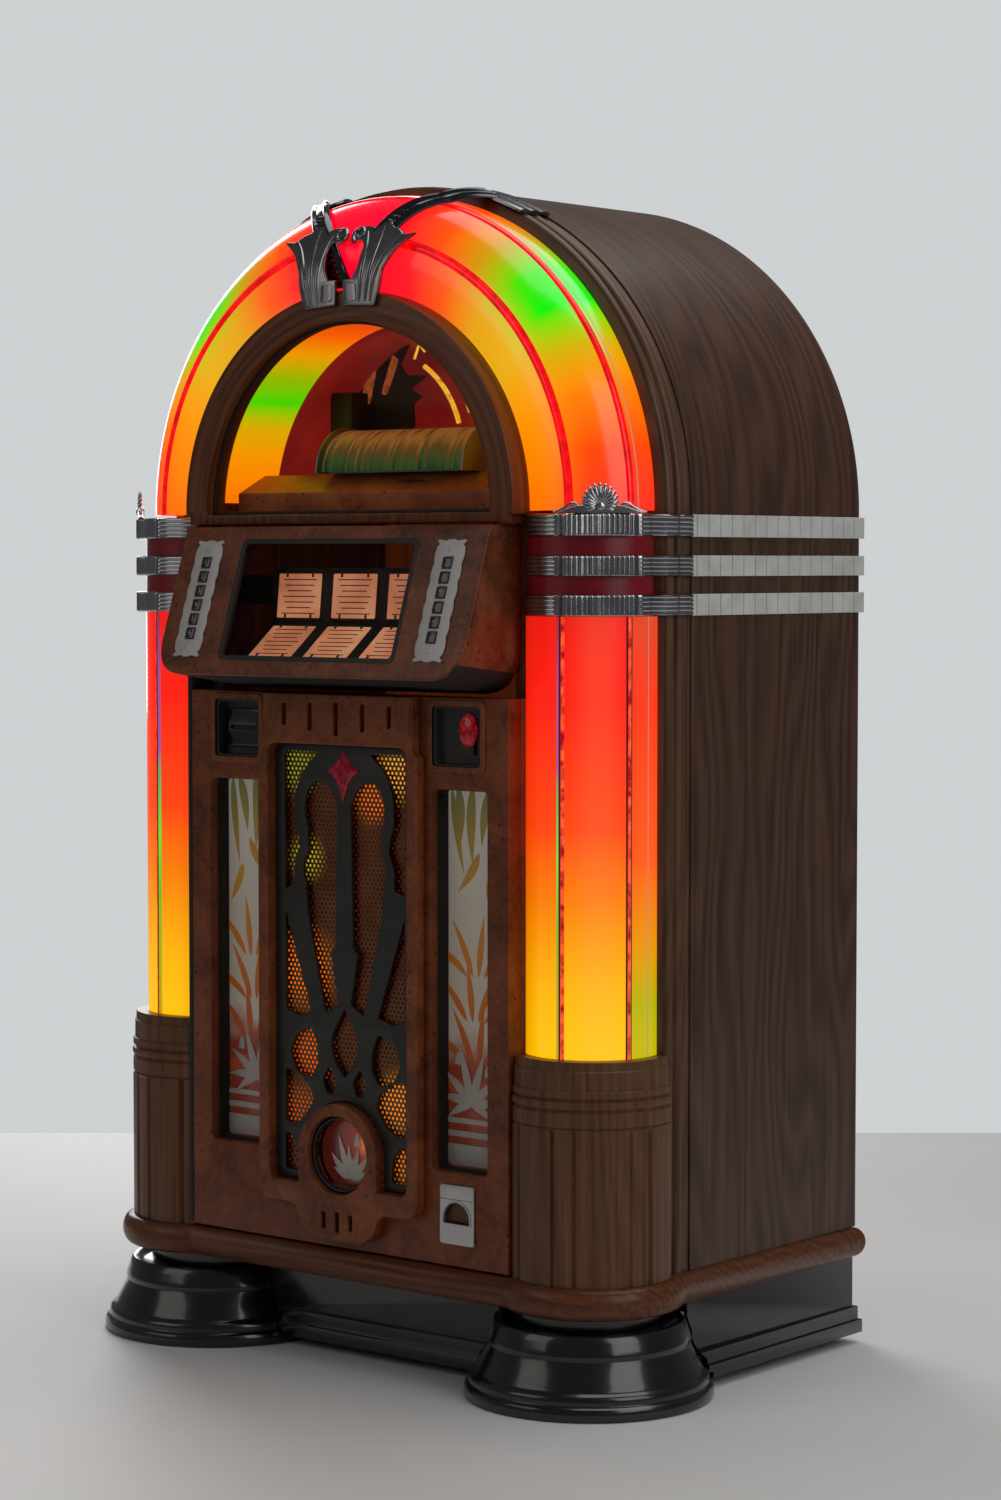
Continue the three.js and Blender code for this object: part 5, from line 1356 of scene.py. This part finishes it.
def casting():
    loops = []
    for loop in CASTING_LOOPS:
        outline = rounded(loop, 6, 6)
        loops += [outline, [(-x, z) for x, z in outline]]
    loops.append(rounded([(0, 492, 3), (25, 450, 20), (20, 420, 16), (0, 398, 3), (-20, 420, 16),
                          (-25, 450, 20)], 16, 6))
    bm = plate([grille_opening(GAP), *loops], CASTING_LOW.y, CASTING_HIGH.y, 1.6, 3)
    piece("grille_casting", bm, LOOKS["casting"], "lower_door", ["deco_casting"], 40)
    rows = []
    outline = rounded([(0, 839, 2), (10, 824, 12), (27, 812, 2), (10, 798, 16), (0, 770, 2), (-10, 798, 16),
                       (-27, 812, 2), (-10, 824, 12)], 8, 6)
    front = CASTING_LOW.y
    for size, y in ((1.0, front + 1), (1.0, front - 1.6), (0.84, front - 4.2), (0.3, front - 5.6)):
        rows.append([(x * size, y, 810 + (z - 810) * size) for x, z in outline])
    gem = bmesh.new()
    skin(gem, rows)
    piece("diamond_jewel", gem, LOOKS["ruby_matte"], "lower_door", (), 20)


HOLE_PITCH, HOLE_R = 7.2, 2.45


def perforated():
    """Expanded grille: hexagonal openings in staggered rows, as real holes."""
    bm = bmesh.new()
    pitch, hole = HOLE_PITCH, HOLE_R
    rise = pitch * math.sqrt(3) / 2
    cell = pitch / math.sqrt(3)
    y0 = MESH_LOW.y
    row = 0
    z = MESH_LOW.z + cell
    while z + cell < MESH_HIGH.z:
        x = MESH_LOW.x + cell + (pitch / 2 if row % 2 else 0)
        while x + cell < MESH_HIGH.x:
            if math.hypot(x, z - ROUND_Z) > ROUND_R - 4 and not (abs(x) < SURROUND_R - 8 and z < ROUND_Z - 8):
                turns = [math.radians(30 + 60 * k) for k in range(6)]
                outer = [(x + cell * math.cos(a), z + cell * math.sin(a)) for a in turns]
                inner = [(x + hole * math.cos(a), z + hole * math.sin(a)) for a in turns]
                front = [bm.verts.new((px, y0, pz)) for px, pz in outer]
                lip = [bm.verts.new((px, y0, pz)) for px, pz in inner]
                deep = [bm.verts.new((px, y0 + 1.2, pz)) for px, pz in inner]
                for k in range(6):
                    n = (k + 1) % 6
                    bm.faces.new((front[k], front[n], lip[n], lip[k]))
                    bm.faces.new((lip[k], lip[n], deep[n], deep[k]))
            x += pitch
        z += rise
        row += 1
    piece("perforated_grille", bm, LOOKS["gold_mesh"], "lower_door", ["grille_mesh"], 30)
    backing = plate([rectangle(MESH_LOW.x + 1, MESH_HIGH.x - 1, MESH_LOW.z + 1, MESH_HIGH.z - 1, 6)],
                    MESH_HIGH.y + 5, MESH_HIGH.y + 7, 0.4)
    piece("grille_backlight", backing, LOOKS["grille_light"], "lower_door", ())


def round_window():
    """Gasket, liner, lit pane and ivory leaves of the round window."""
    z = ROUND_Z
    ring = lathe_about_y([(ROUND_R - 0.4, PANEL_FRONT + 9), (ROUND_R - 0.4, PANEL_FRONT + 17),
                          (ROUND_R - 5, PANEL_FRONT + 17), (ROUND_R - 5, PANEL_FRONT + 10),
                          (ROUND_R - 3, PANEL_FRONT + 9)], 0, z, 96)
    piece("round_gasket", ring, LOOKS["matte"], "lower_door", ())
    pane_y = MESH_HIGH.y + 1.5
    liner = lathe_about_y([(ROUND_R - 0.6, CASTING_HIGH.y + 0.5), (ROUND_R - 0.6, pane_y),
                           (ROUND_R - 1.8, pane_y), (ROUND_R - 1.8, CASTING_HIGH.y + 0.5)], 0, z, 96)
    piece("round_liner", liner, LOOKS["inside"], "lower_door", ())
    pane = lathe_about_y([(AXIS, pane_y), (ROUND_R - 1, pane_y), (ROUND_R - 1, pane_y + 2),
                          (AXIS, pane_y + 2)], 0, z, 72)
    piece("round_pane", pane, LOOKS["round_art"], "lower_door", ())
    y0 = pane_y - 1.6
    leaves = [leaf_shape(2, z - 34, a, length, width, bend) for a, length, width, bend in
              ((118, 62, 11, 8), (98, 46, 9, 3), (150, 46, 12, 10), (165, 32, 10, 4), (62, 44, 10, -8),
               (34, 44, 12, -10), (12, 34, 10, -4), (80, 30, 8, 0))]
    bells = [bell_shape(14, z + 18), bell_shape(34, z + 6)]
    bm = bmesh.new()
    for loop in leaves + bells:
        loop = [(x, pz) for x, pz in loop if math.hypot(x, pz - z) < ROUND_R - 6]
        y0 -= 0.07
        bm = merged(bm, plate([loop], y0, y0 + 1.2, 0.1, 1))
    piece("round_leaves", bm, LOOKS["ivory"], "lower_door", ())


def leaf_shape(x, z, angle, length, width, bend):
    """A pointed leaf from its foot, bent sideways."""
    turn = math.radians(angle)
    along = Vector((math.cos(turn), math.sin(turn)))
    across = Vector((-along.y, along.x))
    left, right = [], []
    for k in range(15):
        t = k / 14
        spine = Vector((x, z)) + along * length * t - across * bend * t * t
        half = width / 2 * math.sin(math.pi * t ** 0.8) * (1 - 0.15 * t) + 0.35
        left.append(tuple(spine + across * half))
        right.append(tuple(spine - across * half))
    return left + right[::-1]


def bell_shape(x, z):
    """A hanging flower bell."""
    return rounded([(x - 2, z + 9), (x + 2, z + 9), (x + 5, z), (x + 6, z - 9), (x + 2, z - 6), (x, z - 11),
                    (x - 2, z - 6), (x - 6, z - 9), (x - 5, z)], 2, 4)


def art_windows():
    """Enamelled plants on the side panes: hanging leaves above, tall blades, lilies, then stripes."""
    y1 = WINDOW_LOW.y - 0.05
    y0 = y1 - 0.7
    middle = (WINDOW_LOW.x + WINDOW_HIGH.x) / 2
    low, high = WINDOW_LOW.z, WINDOW_HIGH.z
    left, right = WINDOW_LOW.x + 1, WINDOW_HIGH.x - 1

    def keep(loop):
        return [(min(max(x, left), right), min(max(z, low + 1), high - 1)) for x, z in loop]

    # from the middle and the top of the window: X, Z, angle, length, width, bend
    hanging = ((-30, 4, 282, 76, 15, 12), (-4, 6, 262, 104, 16, -14), (26, 4, 250, 78, 15, -12),
               (38, 2, 268, 120, 12, 8), (-40, 2, 276, 116, 11, -8), (6, -84, 250, 62, 13, 16),
               (20, -120, 280, 58, 12, -14))
    tinted = [leaf_shape(middle + x, high + z, *rest) for x, z, *rest in hanging]
    for row, z in enumerate((low + 168, low + 226, low + 286)):
        for i in range(4):
            lean = (i - 1.5) * 24 + (7 if row % 2 else -7)
            length = 84 - 7 * abs(i - 1.5)
            tinted.append(leaf_shape(middle + (i - 1.5) * 10, z - 30, 90 - lean, length, 10, lean * 0.45))
    hills = [rounded([(left, low + 100), (right, low + 92), (right, low + 108), (middle + 12, low + 118),
                      (middle - 14, low + 112), (left, low + 124)], 10)]
    white = [leaf_shape(middle - 6, low + 84, 90 - lean, length, 13, lean * 0.28) for lean, length in
             ((-84, 40), (-62, 54), (-38, 66), (-12, 84), (14, 74), (40, 60), (66, 50), (86, 38))]
    white += [bell_shape(middle + 22, low + 132), bell_shape(middle - 28, low + 146)]
    stripes = [rectangle(left, right, low + z0, low + z1) for z0, z1 in ((4, 32), (42, 50), (60, 67))]
    for side, sign in SIDES:
        for name, loops, look, shift in (("art_plants_", tinted + hills, "leaf", ART_BACK - 1.5 - y1),
                                         ("art_lilies_", white + stripes, "ivory", ART_BACK - 2.4 - y1)):
            bm = bmesh.new()
            for i, loop in enumerate(loops):
                sink = 0.05 * (i % 5) + shift
                bm = merged(bm, plate([keep(loop)], y0 + sink, y1 + sink, 0.12, 0))
            piece(name + side, mirrored(bm, sign), LOOKS[look], "lower_door", ())
        ground = plate([rectangle(left, right, low, high)], ART_BACK - 1.4, ART_BACK, 0.3)
        piece("art_ground_" + side, mirrored(ground, sign), LOOKS["art"], "lower_door", ())
        # painted shade: a near-black liner on the window reveals stands in for the shade that falls in them
        liner = plate([rectangle(WINDOW_X[0] - out, WINDOW_X[1] + out, WINDOW_Z[0] - out, WINDOW_Z[1] + out,
                                 corner) for out, corner in ((3, 7), (-1.6, 6))],
                      WINDOW_HIGH.y + 0.4, ART_BACK - 1.6, 0.4)
        piece("art_liner_" + side, mirrored(liner, sign), LOOKS["inside"], "lower_door", ())


LENS_X, LENS_Z, LENS_HALF = 207, 872, (14, 22)


def coin_parts():
    """Trays, frames, the lens by the coin slot and the mouth of the note unit."""
    for name, cad in (("coin_tray", "coin_entry"), ("note_tray", "note_unit")):
        piece(name, refined(cad, 0.8), LOOKS["matte"], "lower_door", [cad])
    # lit ruby lens beside the coin slot
    lens = bmesh.new()
    rows = []
    for size, y in ((1.0, COIN_LOW.y + 11.8), (1.0, COIN_LOW.y + 8), (0.8, COIN_LOW.y + 4.5),
                    (0.35, COIN_LOW.y + 2.6)):
        wide, tall = LENS_HALF[0] * size, LENS_HALF[1] * size
        rows.append([(LENS_X + wide * math.cos(a), y, LENS_Z + tall * math.sin(a)) for a in
                     [math.pi / 6 * k for k in range(12)]])
    skin(lens, rows)
    piece("coin_lens", lens, LOOKS["ruby"], "lower_door", (), 10)
    bezel = plate([rectangle(COIN_LOW.x - 4, COIN_HIGH.x + 4, COIN_LOW.z - 4, COIN_HIGH.z + 4, 8),
                   rectangle(COIN_LOW.x + 4, COIN_HIGH.x - 4, COIN_LOW.z + 4, COIN_HIGH.z - 4, 5)],
                  DOOR_LOW.y - 1.6, DOOR_LOW.y - 0.1, 0.6)
    twin = bezel.copy()
    piece("coin_bezel", bezel, LOOKS["panel"], "lower_door", ())
    piece("note_bezel", mirrored(twin, -1), LOOKS["panel"], "lower_door", ())
    # acceptor mouth in the left recess
    mouth = plate([rectangle(-230, -166, 838, 890, 5), rectangle(-222, -174, 862, 867, 2)],
                  DOOR_LOW.y + 13, DOOR_LOW.y + 18.6, 1.2)
    piece("note_mouth", mouth, LOOKS["dark_chrome"], "lower_door", ())


CUP_HALF, CUP_FLOOR, CUP_SPRING = 22, 224, 230


def coin_return():
    """A plate with a D-shaped mouth, a lip round it, the cup behind and its flap."""
    low_x, high_x, low_z, high_z = RETURN_LOW.x, RETURN_HIGH.x, RETURN_LOW.z, RETURN_HIGH.z
    cx = (low_x + high_x) / 2
    mouth = [(cx - CUP_HALF, CUP_FLOOR), (cx + CUP_HALF, CUP_FLOOR)]
    mouth += arc(cx, CUP_SPRING, CUP_HALF, 0, 180, 32)
    face = plate([rectangle(low_x, high_x, low_z, high_z, 4), mouth], RETURN_LOW.y, DOOR_LOW.y - GAP, 0.9, 3)
    lip = plate([inset(mouth, -2.2), inset(mouth, -0.2)], RETURN_LOW.y - 1.2, RETURN_LOW.y + 0.6, 0.4)
    seam = plate([rectangle(low_x + 1, high_x - 1, 255.6, 256.4)],
                 RETURN_LOW.y - 0.15, RETURN_LOW.y + 0.4, 0.05)
    piece("return_seam", seam, LOOKS["matte"], "lower_door", ())
    cup = refined("coin_return", 0.4)
    for vert in cup.verts:
        vert.co.y = max(vert.co.y, DOOR_LOW.y - 0.6)
    piece("return_cup", cup, LOOKS["nickel"], "lower_door", ["coin_return"])
    piece("return_plate", merged(face, lip), LOOKS["nickel"], "lower_door", ["coin_return"])
    piece("return_flap", refined("coin_flap", 0.3), LOOKS["flap"], "coin_flap", ["coin_flap"])


def loudspeaker():
    """Surround, cone, dust cap and magnet, turned about the speaker's axis."""
    front = box_mm("woofer")[0].y
    profile = [(AXIS, front + 52), (30, front + 50), (36, front + 52), (60, front + 34), (100, front + 6),
               (108, front + 0.6), (118, front + 4), (124, front), (150, front), (150, front + 6),
               (120, front + 8), (72, front + 60), (68, front + 68), (68, front + 92), (64, front + 97),
               (AXIS, front + 97)]
    bm = lathe_about_y(profile, 0, (box_mm("woofer")[0].z + box_mm("woofer")[1].z) / 2, 96)
    piece("speaker", bm, LOOKS["cone"], "lower_door", ["woofer"])


HINGE_X, HINGE_Y, KNUCKLE = -288.5, -248.5, 48


def long_hinge():
    """A piano hinge: its leaf and a row of knuckles."""
    low, high = box_mm("door_hinge")
    profile = [(AXIS, low.z)]
    z = low.z
    while z < high.z - 1:
        top = min(z + KNUCKLE, high.z)
        profile += [(2.1, z), (2.6, z + 0.5), (2.6, top - 0.9), (2.1, top - 0.4)]
        z = top
    profile.append((AXIS, high.z))
    bm = merged(refined("door_hinge", 0.1, 1), lathe(profile, HINGE_X, HINGE_Y, 24))
    piece("hinge_leaf", bm, LOOKS["matte"], "cabinet", ["door_hinge"])


# ---------------------------------------------------------------- console
CONSOLE_WALL, CONSOLE_BOARD = 14.0, 12.0
FACE_SOFT, BACK_SOFT = 50, 63
SIGHT_HALF, SIGHT_FOOT, SIGHT_TOP = 156, -188, -20
KEYPAD_X, KEYPAD_ROOM = 215, (-166, -42)
KEY_TOP, KEY_PITCH, KEY_HOLE, KEYS_A_SIDE = -53, 20.2, 8.2, 6


def carved(bm, cutters):
    """A closed mesh less some closed meshes."""
    scene = bpy.context.scene
    made = []
    for part in [bm, *cutters]:
        bmesh.ops.recalc_face_normals(part, faces=part.faces)
        mesh = bpy.data.meshes.new("part")
        part.to_mesh(mesh)
        part.free()
        made.append(bpy.data.objects.new("part", mesh))
        scene.collection.objects.link(made[-1])
    for cutter in made[1:]:
        cut = made[0].modifiers.new("cut", "BOOLEAN")
        cut.object = cutter
        cut.operation = "DIFFERENCE"
        cut.solver = "EXACT"
    bpy.context.view_layer.update()
    mesh = bpy.data.meshes.new_from_object(made[0].evaluated_get(bpy.context.evaluated_depsgraph_get()))
    result = bmesh.new()
    result.from_mesh(mesh)
    bpy.data.meshes.remove(mesh)
    for part in made:
        data = part.data
        bpy.data.objects.remove(part)
        bpy.data.meshes.remove(data)
    return result


def console_outline(half, low, high, soft, depth=0.0):
    """Front view of the console: square at the top, well rounded at the foot."""
    corners = [(-half + depth, low + depth, soft), (half - depth, low + depth, soft),
               (half - depth, high - depth, 3), (-half + depth, high - depth, 3)]
    return rounded(corners, 3, 12)


def console_body():
    """One closed skin from the window's inner edge round the face, the sides and back to the window."""
    half, back = CONSOLE_HIGH.x, CONSOLE_HIGH.y
    window = rounded([(-SIGHT_HALF, SIGHT_FOOT, 8), (SIGHT_HALF, SIGHT_FOOT, 8), (SIGHT_HALF, SIGHT_TOP, 8),
                      (-SIGHT_HALF, SIGHT_TOP, 8)], 8, 12)
    rows = [[FACE @ Vector((x, CONSOLE_BOARD, z)) for x, z in window],
            [FACE @ Vector((x, 0.8, z)) for x, z in window],
            [FACE @ Vector((x, 0, z)) for x, z in inset(window, -0.8)]]
    edge, steps = 3.0, 4
    for step in range(steps + 1):
        turn = math.pi / 2 * step / steps
        sink = edge * (1 - math.sin(turn))
        rows.append([FACE @ Vector((x, edge * (1 - math.cos(turn)), z)) for x, z in
                     console_outline(half, -FACE_LENGTH, 0, FACE_SOFT, sink)])
    for depth in (0.0, CONSOLE_WALL):
        rows.append([Vector((x, back, z)) for x, z in
                     console_outline(half, CONSOLE_LOW.z, CONSOLE_HIGH.z, BACK_SOFT, depth)])
    rows.append([FACE @ Vector((x, CONSOLE_BOARD, z)) for x, z in
                 console_outline(half, -FACE_LENGTH, 0, FACE_SOFT, CONSOLE_WALL)])
    bm = bmesh.new()
    skin(bm, rows, loop=True)
    rooms = []
    for x in (-KEYPAD_X, KEYPAD_X):
        rooms.append(bmesh.new())
        skin(rooms[-1], [[FACE @ Vector((px, y, z)) for px, z in rectangle(x - 12, x + 12, *KEYPAD_ROOM)]
                         for y in (-20, 26)])
    return carved(bm, rooms)


def console_parts():
    half = CONSOLE_HIGH.x
    shell = piece("console_body", console_body(), LOOKS["console"], "console", ["console_shell"], 32)
    shell.data.materials.append(LOOKS["inside"])
    inner = FACE.inverted()
    for polygon in shell.data.polygons:
        centre = inner @ (Vector(polygon.center) / MM)
        if abs(centre.x) < half - 7 and centre.y > 1.0 and -FACE_LENGTH + 8 < centre.z < -4:
            polygon.material_index = 1
    border = plate([rectangle(-157.5, 157.5, -189.5, -18.5, 8), rectangle(-151, 151, -183, -25, 5)],
                   -0.9, 3.5, 0.7)
    border.transform(FACE)
    piece("window_border", border, LOOKS["matte"], "console", ())
    keypads()
    keys()
    piece("card_rack", refined("page_rack", 0.3, 1), LOOKS["inside"], "console", ["page_rack"])
    cards()


SCREW = ((AXIS, -4.4), (2.4, -4.1), (3.4, -3.2), (3.4, -2.4), (AXIS, -2.4))


def keypads():
    """Scalloped plates with a screw at each end and a square hole for each key."""
    for side, sign in SIDES:
        name = "keypad_" + side
        low, high = -187.0, -21.0
        edge = []
        for i in range(97):
            t = i / 96
            z = low + 9 + (high - low - 18) * t
            edge.append((22.4 + 2.1 * abs(math.sin(math.pi * 6 * t)), z))
        end = [(19.5, high - 7), (24.5, high - 2), (21.5, high), (9, high - 2), (5, high)]
        foot = [(5, low), (9, low + 2), (21.5, low), (24.5, low + 2), (19.5, low + 7)]
        right = foot + edge + end
        outline = right + [(-x, z) for x, z in right[::-1]]
        holes = []
        for i in range(KEYS_A_SIDE):
            z = KEY_TOP - KEY_PITCH * i
            holes.append(rectangle(-KEY_HOLE, KEY_HOLE, z - KEY_HOLE, z + KEY_HOLE))
        bm = plate([outline, *holes], -3, -GAP, 0.6, 2)
        for z in (high - 13, low + 13):
            bm = merged(bm, lathe_about_y(SCREW, 0, z, 24))
        bm.transform(FACE @ Matrix.Translation((sign * KEYPAD_X, 0, 0)))
        piece("key_plate_" + side, bm, LOOKS["dull"], "console", [name], 40)


def digit(text, place):
    """One numeral as a thin raised solid, lying in the console's face."""
    curve = bpy.data.curves.new("digit", "FONT")
    curve.body = text
    curve.size = 10.5
    curve.align_x = "CENTER"
    curve.align_y = "CENTER"
    curve.extrude = 0.12
    made = placed("digit", curve)
    bpy.context.view_layer.update()
    mesh = bpy.data.meshes.new_from_object(made.evaluated_get(bpy.context.evaluated_depsgraph_get()))
    bm = bmesh.new()
    bm.from_mesh(mesh)
    bpy.data.objects.remove(made)
    bpy.data.curves.remove(curve)
    bpy.data.meshes.remove(mesh)
    bm.transform(FACE @ Matrix.Translation(place) @ Matrix.Rotation(math.pi / 2, 4, "X"))
    return bm


def keys():
    """Twelve caps, each with its numeral or sign."""
    marks = {"left": "123456", "right": "7890+-"}
    for side, sign in SIDES:
        for i in range(KEYS_A_SIDE):
            name = "key_%s_%d" % (side, i + 1)
            piece(name + "_cap", refined(name, 0.9, 3), LOOKS["lacquer"], name, [name])
            mark = digit(marks[side][i], (sign * KEYPAD_X, -5.15, KEY_TOP - KEY_PITCH * i))
            piece(name + "_mark", mark, LOOKS["marks"], name, ())


PRINT_ROWS = 7


def card(x, half, low, high, place, name, body, replaced=()):
    """A printed card with rows of print as bars, and clips at its top and foot."""
    sheet = plate([rectangle(x - half, x + half, low, high, 1.5)], -0.6, 0.2, 0.2, 1)
    sheet.transform(place)
    piece(name, sheet, LOOKS["page"], body, replaced)
    lines = bmesh.new()
    for i in range(PRINT_ROWS):
        z = high - 8 - (high - low - 14) * i / (PRINT_ROWS - 1)
        reach = half - 9 - 4 * (i % 3)
        lines = merged(lines, plate([rectangle(x - reach, x + reach, z - 0.7, z + 0.7)], -0.9, -0.5, 0.05, 0))
    for hand in (-1, 1):
        for z in (high - 1, low + 1):
            at = x + hand * half * 0.6
            clip = plate([rectangle(at - 1.6, at + 1.6, z - 4, z + 4, 0.6)], -2.0, -0.6, 0.4, 1)
            lines = merged(lines, clip)
    lines.transform(place)
    piece(name + "_print", lines, LOOKS["print"], body, ())


CARD_X, CARD_HALF = 99.5, 39
CARD_HINGE_Y, CARD_HINGE_Z = -232.0, 1014.0
CARD_LEAN, CARD_SLOPE = math.radians(6), math.radians(52)


def cards():
    """Three cards that turn on their rods, and three fixed ones on the slope below."""
    y, z = CARD_HINGE_Y, CARD_HINGE_Z
    upright = Matrix.Translation((0, y, z)) @ Matrix.Rotation(-CARD_LEAN, 4, "X")
    shelf = Matrix.Translation((0, y - 2.2, z - 6.5)) @ Matrix.Rotation(-CARD_SLOPE, 4, "X")
    for name, x in (("left", -CARD_X), ("middle", 0), ("right", CARD_X)):
        card(x, CARD_HALF, 2, 62, upright, "card_" + name, "page_" + name, ["page_" + name])
        rod = bmesh.new()
        tube(rod, [(x - CARD_HALF - 2, y, z), (x + CARD_HALF + 2, y, z)], [1.7, 1.7], 16)
        piece("card_rod_" + name, rod, LOOKS["matte"], "page_" + name, ())
        card(x, CARD_HALF, -70, -5, shelf, "lower_card_" + name, "console")


# ---------------------------------------------------------------- rear and inside
def plain_nodes():
    """CAD pieces with edges rounded, kept in shape."""
    rear = ((["back_panel"], "rear_board", "plywood", "cabinet", "plywood", 0.8),
            (["mains_inlet"], "inlet", "matte", "cabinet", "black_matte", 0.5),
            (["plinth"], "plinth_ring", "lacquer", "cabinet", "black_gloss", 2.5),
            (["amplifier"], "amplifier_case", "alloy", "cabinet", "alloy", 0.8),
            (["carriage"], "pickup", "matte", "carriage", "black_matte", 1.5),
            (["front_frame"], "door_frame", "arch", "cabinet", "walnut", 0.6))
    for replaced, name, look, body, slot, bevel in rear:
        piece(name, refined(replaced[0], bevel, 3), LOOKS[look], body, replaced, 30)


def paint_cad():
    """Materials for the CAD nodes that stay."""
    kept = {"arch_glass": "pane", "console_glass": "pane", "art_glass_left": "pane",
            "art_glass_right": "pane", "lamp_left": "tube", "lamp_right": "tube"}
    for name, look in kept.items():
        data = nodes[name].data
        data.materials.clear()
        data.materials.append(LOOKS[look])


def extra_looks():
    """Looks that need sizes given further up: liner, flame, jewel and round pane."""
    look, tree, shader = new_material("lit liner", Roughness=0.3)
    x, _, z = position(tree).outputs
    height = math_node(tree, "SUBTRACT", z, SPRING * MM)
    turn = math_node(tree, "ARCTAN2", height, math_node(tree, "ABSOLUTE", x))
    turn = math_node(tree, "DIVIDE", turn, math.pi / 2)
    colour = ramp(tree, turn, [(0.0, (1.0, 0.16, 0.0)), (0.18, (1.0, 0.30, 0.0)), (0.30, (0.75, 0.42, 0.0)),
                               (0.40, (0.05, 0.70, 0.0)), (0.50, (0.30, 0.50, 0.0)),
                               (0.62, (0.85, 0.35, 0.0)), (0.75, (1.0, 0.12, 0.0)),
                               (1.0, (0.6, 0.02, 0.0))])
    glow(tree, shader, colour, 1.0)
    LOOKS["liner"] = look
    LOOKS["flame"] = jewel_look("flame", (0.55, 0.12, 0.02), 0.35)
    LOOKS["ruby_matte"] = jewel_look("ruby panel", (0.30, 0.0, 0.015), 0.25)
    # painted pool of light: the round pane glows bright orange round a spot near its middle and dark red away
    # from it
    look, tree, shader = new_material("round pane", Roughness=0.25, Coat_Weight=0.6)
    place = object_place(tree)
    away = node(tree, "VectorMath", {0: place, 1: (0.026, (MESH_HIGH.y + 1.5) * MM, 0.310)},
                operation="DISTANCE")
    field = ramp(tree, math_node(tree, "MULTIPLY", away.outputs["Value"], 20.0),
                 [(0.0, (0.95, 0.20, 0.03)), (0.40, (0.20, 0.022, 0.008)), (1.0, (0.07, 0.008, 0.005))])
    glow(tree, shader, field, 0.6)
    LOOKS["round_art"] = look


# ---------------------------------------------------------------- room
FLOOR_SIZE, FLOOR_BEHIND = 6000, 1750.0
VIEW_FROM, VIEW_TURN, VIEW_TILT, LENS = (3.0742, -3.6880, 1.0896), 39.2, 86.9, 82.67


def room():
    """A flat pale floor whose far edge is the horizon behind the object."""
    floor = bmesh.new()
    rows = [[(x, -FLOOR_SIZE, 0), (x, FLOOR_BEHIND, 0)] for x in (-FLOOR_SIZE, FLOOR_SIZE)]
    skin(floor, rows, ring=False)
    bmesh.ops.scale(floor, vec=(MM, MM, MM), verts=floor.verts)
    mesh = bpy.data.meshes.new("floor")
    floor.to_mesh(mesh)
    floor.free()
    for polygon in mesh.polygons:
        polygon.use_smooth = True
    made = placed("floor", mesh)
    look, tree, shader = new_material("pale floor", Roughness=0.6)
    cloud = noise(tree, object_place(tree), 1.4, 4.0)
    tree.links.new(ramp(tree, cloud, [(0.3, (0.74, 0.74, 0.73)), (0.7, (0.80, 0.80, 0.79))]).outputs[0],
                   shader.inputs["Base Color"])
    made.data.materials.append(look)
    made.rotation_euler = (0, 0, math.radians(VIEW_TURN))


SOFT_LIGHT, SOFT_POWER, BACKDROP = (0.86, 0.87, 0.88, 1), 0.11, (0.62, 0.64, 0.65, 1)


def lamp_panel(name, place, target, size, power, colour=(1, 1, 1)):
    """A rectangular lamp turned to its target."""
    light = bpy.data.lights.new(name, "AREA")
    light.shape = "RECTANGLE"
    light.size, light.size_y = size
    light.energy = power
    light.color = colour
    made = placed(name, light)
    made.location = place
    made.rotation_euler = (Vector(target) - Vector(place)).to_track_quat("-Z", "Y").to_euler()


def lights():
    """Four soft lamps, a dim surround and a paler backdrop."""
    lamp_panel("front_soft", (-1.6, -3.6, 2.6), (0, 0, 0.9), (2.4, 2.4), 17, (1.0, 0.93, 0.86))
    lamp_panel("side_soft", (3.6, -0.6, 2.4), (0.3, 0, 0.9), (2.2, 2.6), 35)
    lamp_panel("rear_soft", (-2.6, 1.8, 2.0), (0, 0, 1.2), (1.6, 2.6), 50)
    lamp_panel("top_soft", (0.4, 0.6, 3.6), (0, 0, 1.0), (2.6, 2.6), 46)
    world = bpy.data.worlds.new("studio")
    world.use_nodes = True
    tree = world.node_tree
    soft = tree.nodes["Background"]
    soft.inputs[0].default_value = SOFT_LIGHT
    soft.inputs[1].default_value = SOFT_POWER
    # what shows past the floor is paler than the light it gives
    backdrop = tree.nodes.new("ShaderNodeBackground")
    backdrop.inputs[0].default_value = BACKDROP
    seen = tree.nodes.new("ShaderNodeLightPath")
    share = tree.nodes.new("ShaderNodeMixShader")
    tree.links.new(seen.outputs["Is Camera Ray"], share.inputs[0])
    tree.links.new(soft.outputs[0], share.inputs[1])
    tree.links.new(backdrop.outputs[0], share.inputs[2])
    tree.links.new(share.outputs[0], tree.nodes["World Output"].inputs[0])
    bpy.context.scene.world = world


def camera():
    """A long lens at the height of the console, to the right of the front."""
    data = bpy.data.cameras.new("camera")
    data.lens = LENS
    data.sensor_width = 36
    made = placed("camera", data)
    made.location = VIEW_FROM
    made.rotation_euler = (math.radians(VIEW_TILT), 0, math.radians(VIEW_TURN))
    bpy.context.scene.camera = made
    bpy.context.scene.view_settings.view_transform = "Standard"


camera()
extra_looks()
case_boards()
bead_moulding()
base_board()
feet()
columns()
lit_plastic()
band_rings()
band_sleeves()
band_tiles()
band_fans()
crowns()
title_arch()
title_interior()
door_boards()
casting()
perforated()
round_window()
art_windows()
coin_parts()
coin_return()
loudspeaker()
long_hinge()
console_parts()
plain_nodes()
paint_cad()
room()
lights()
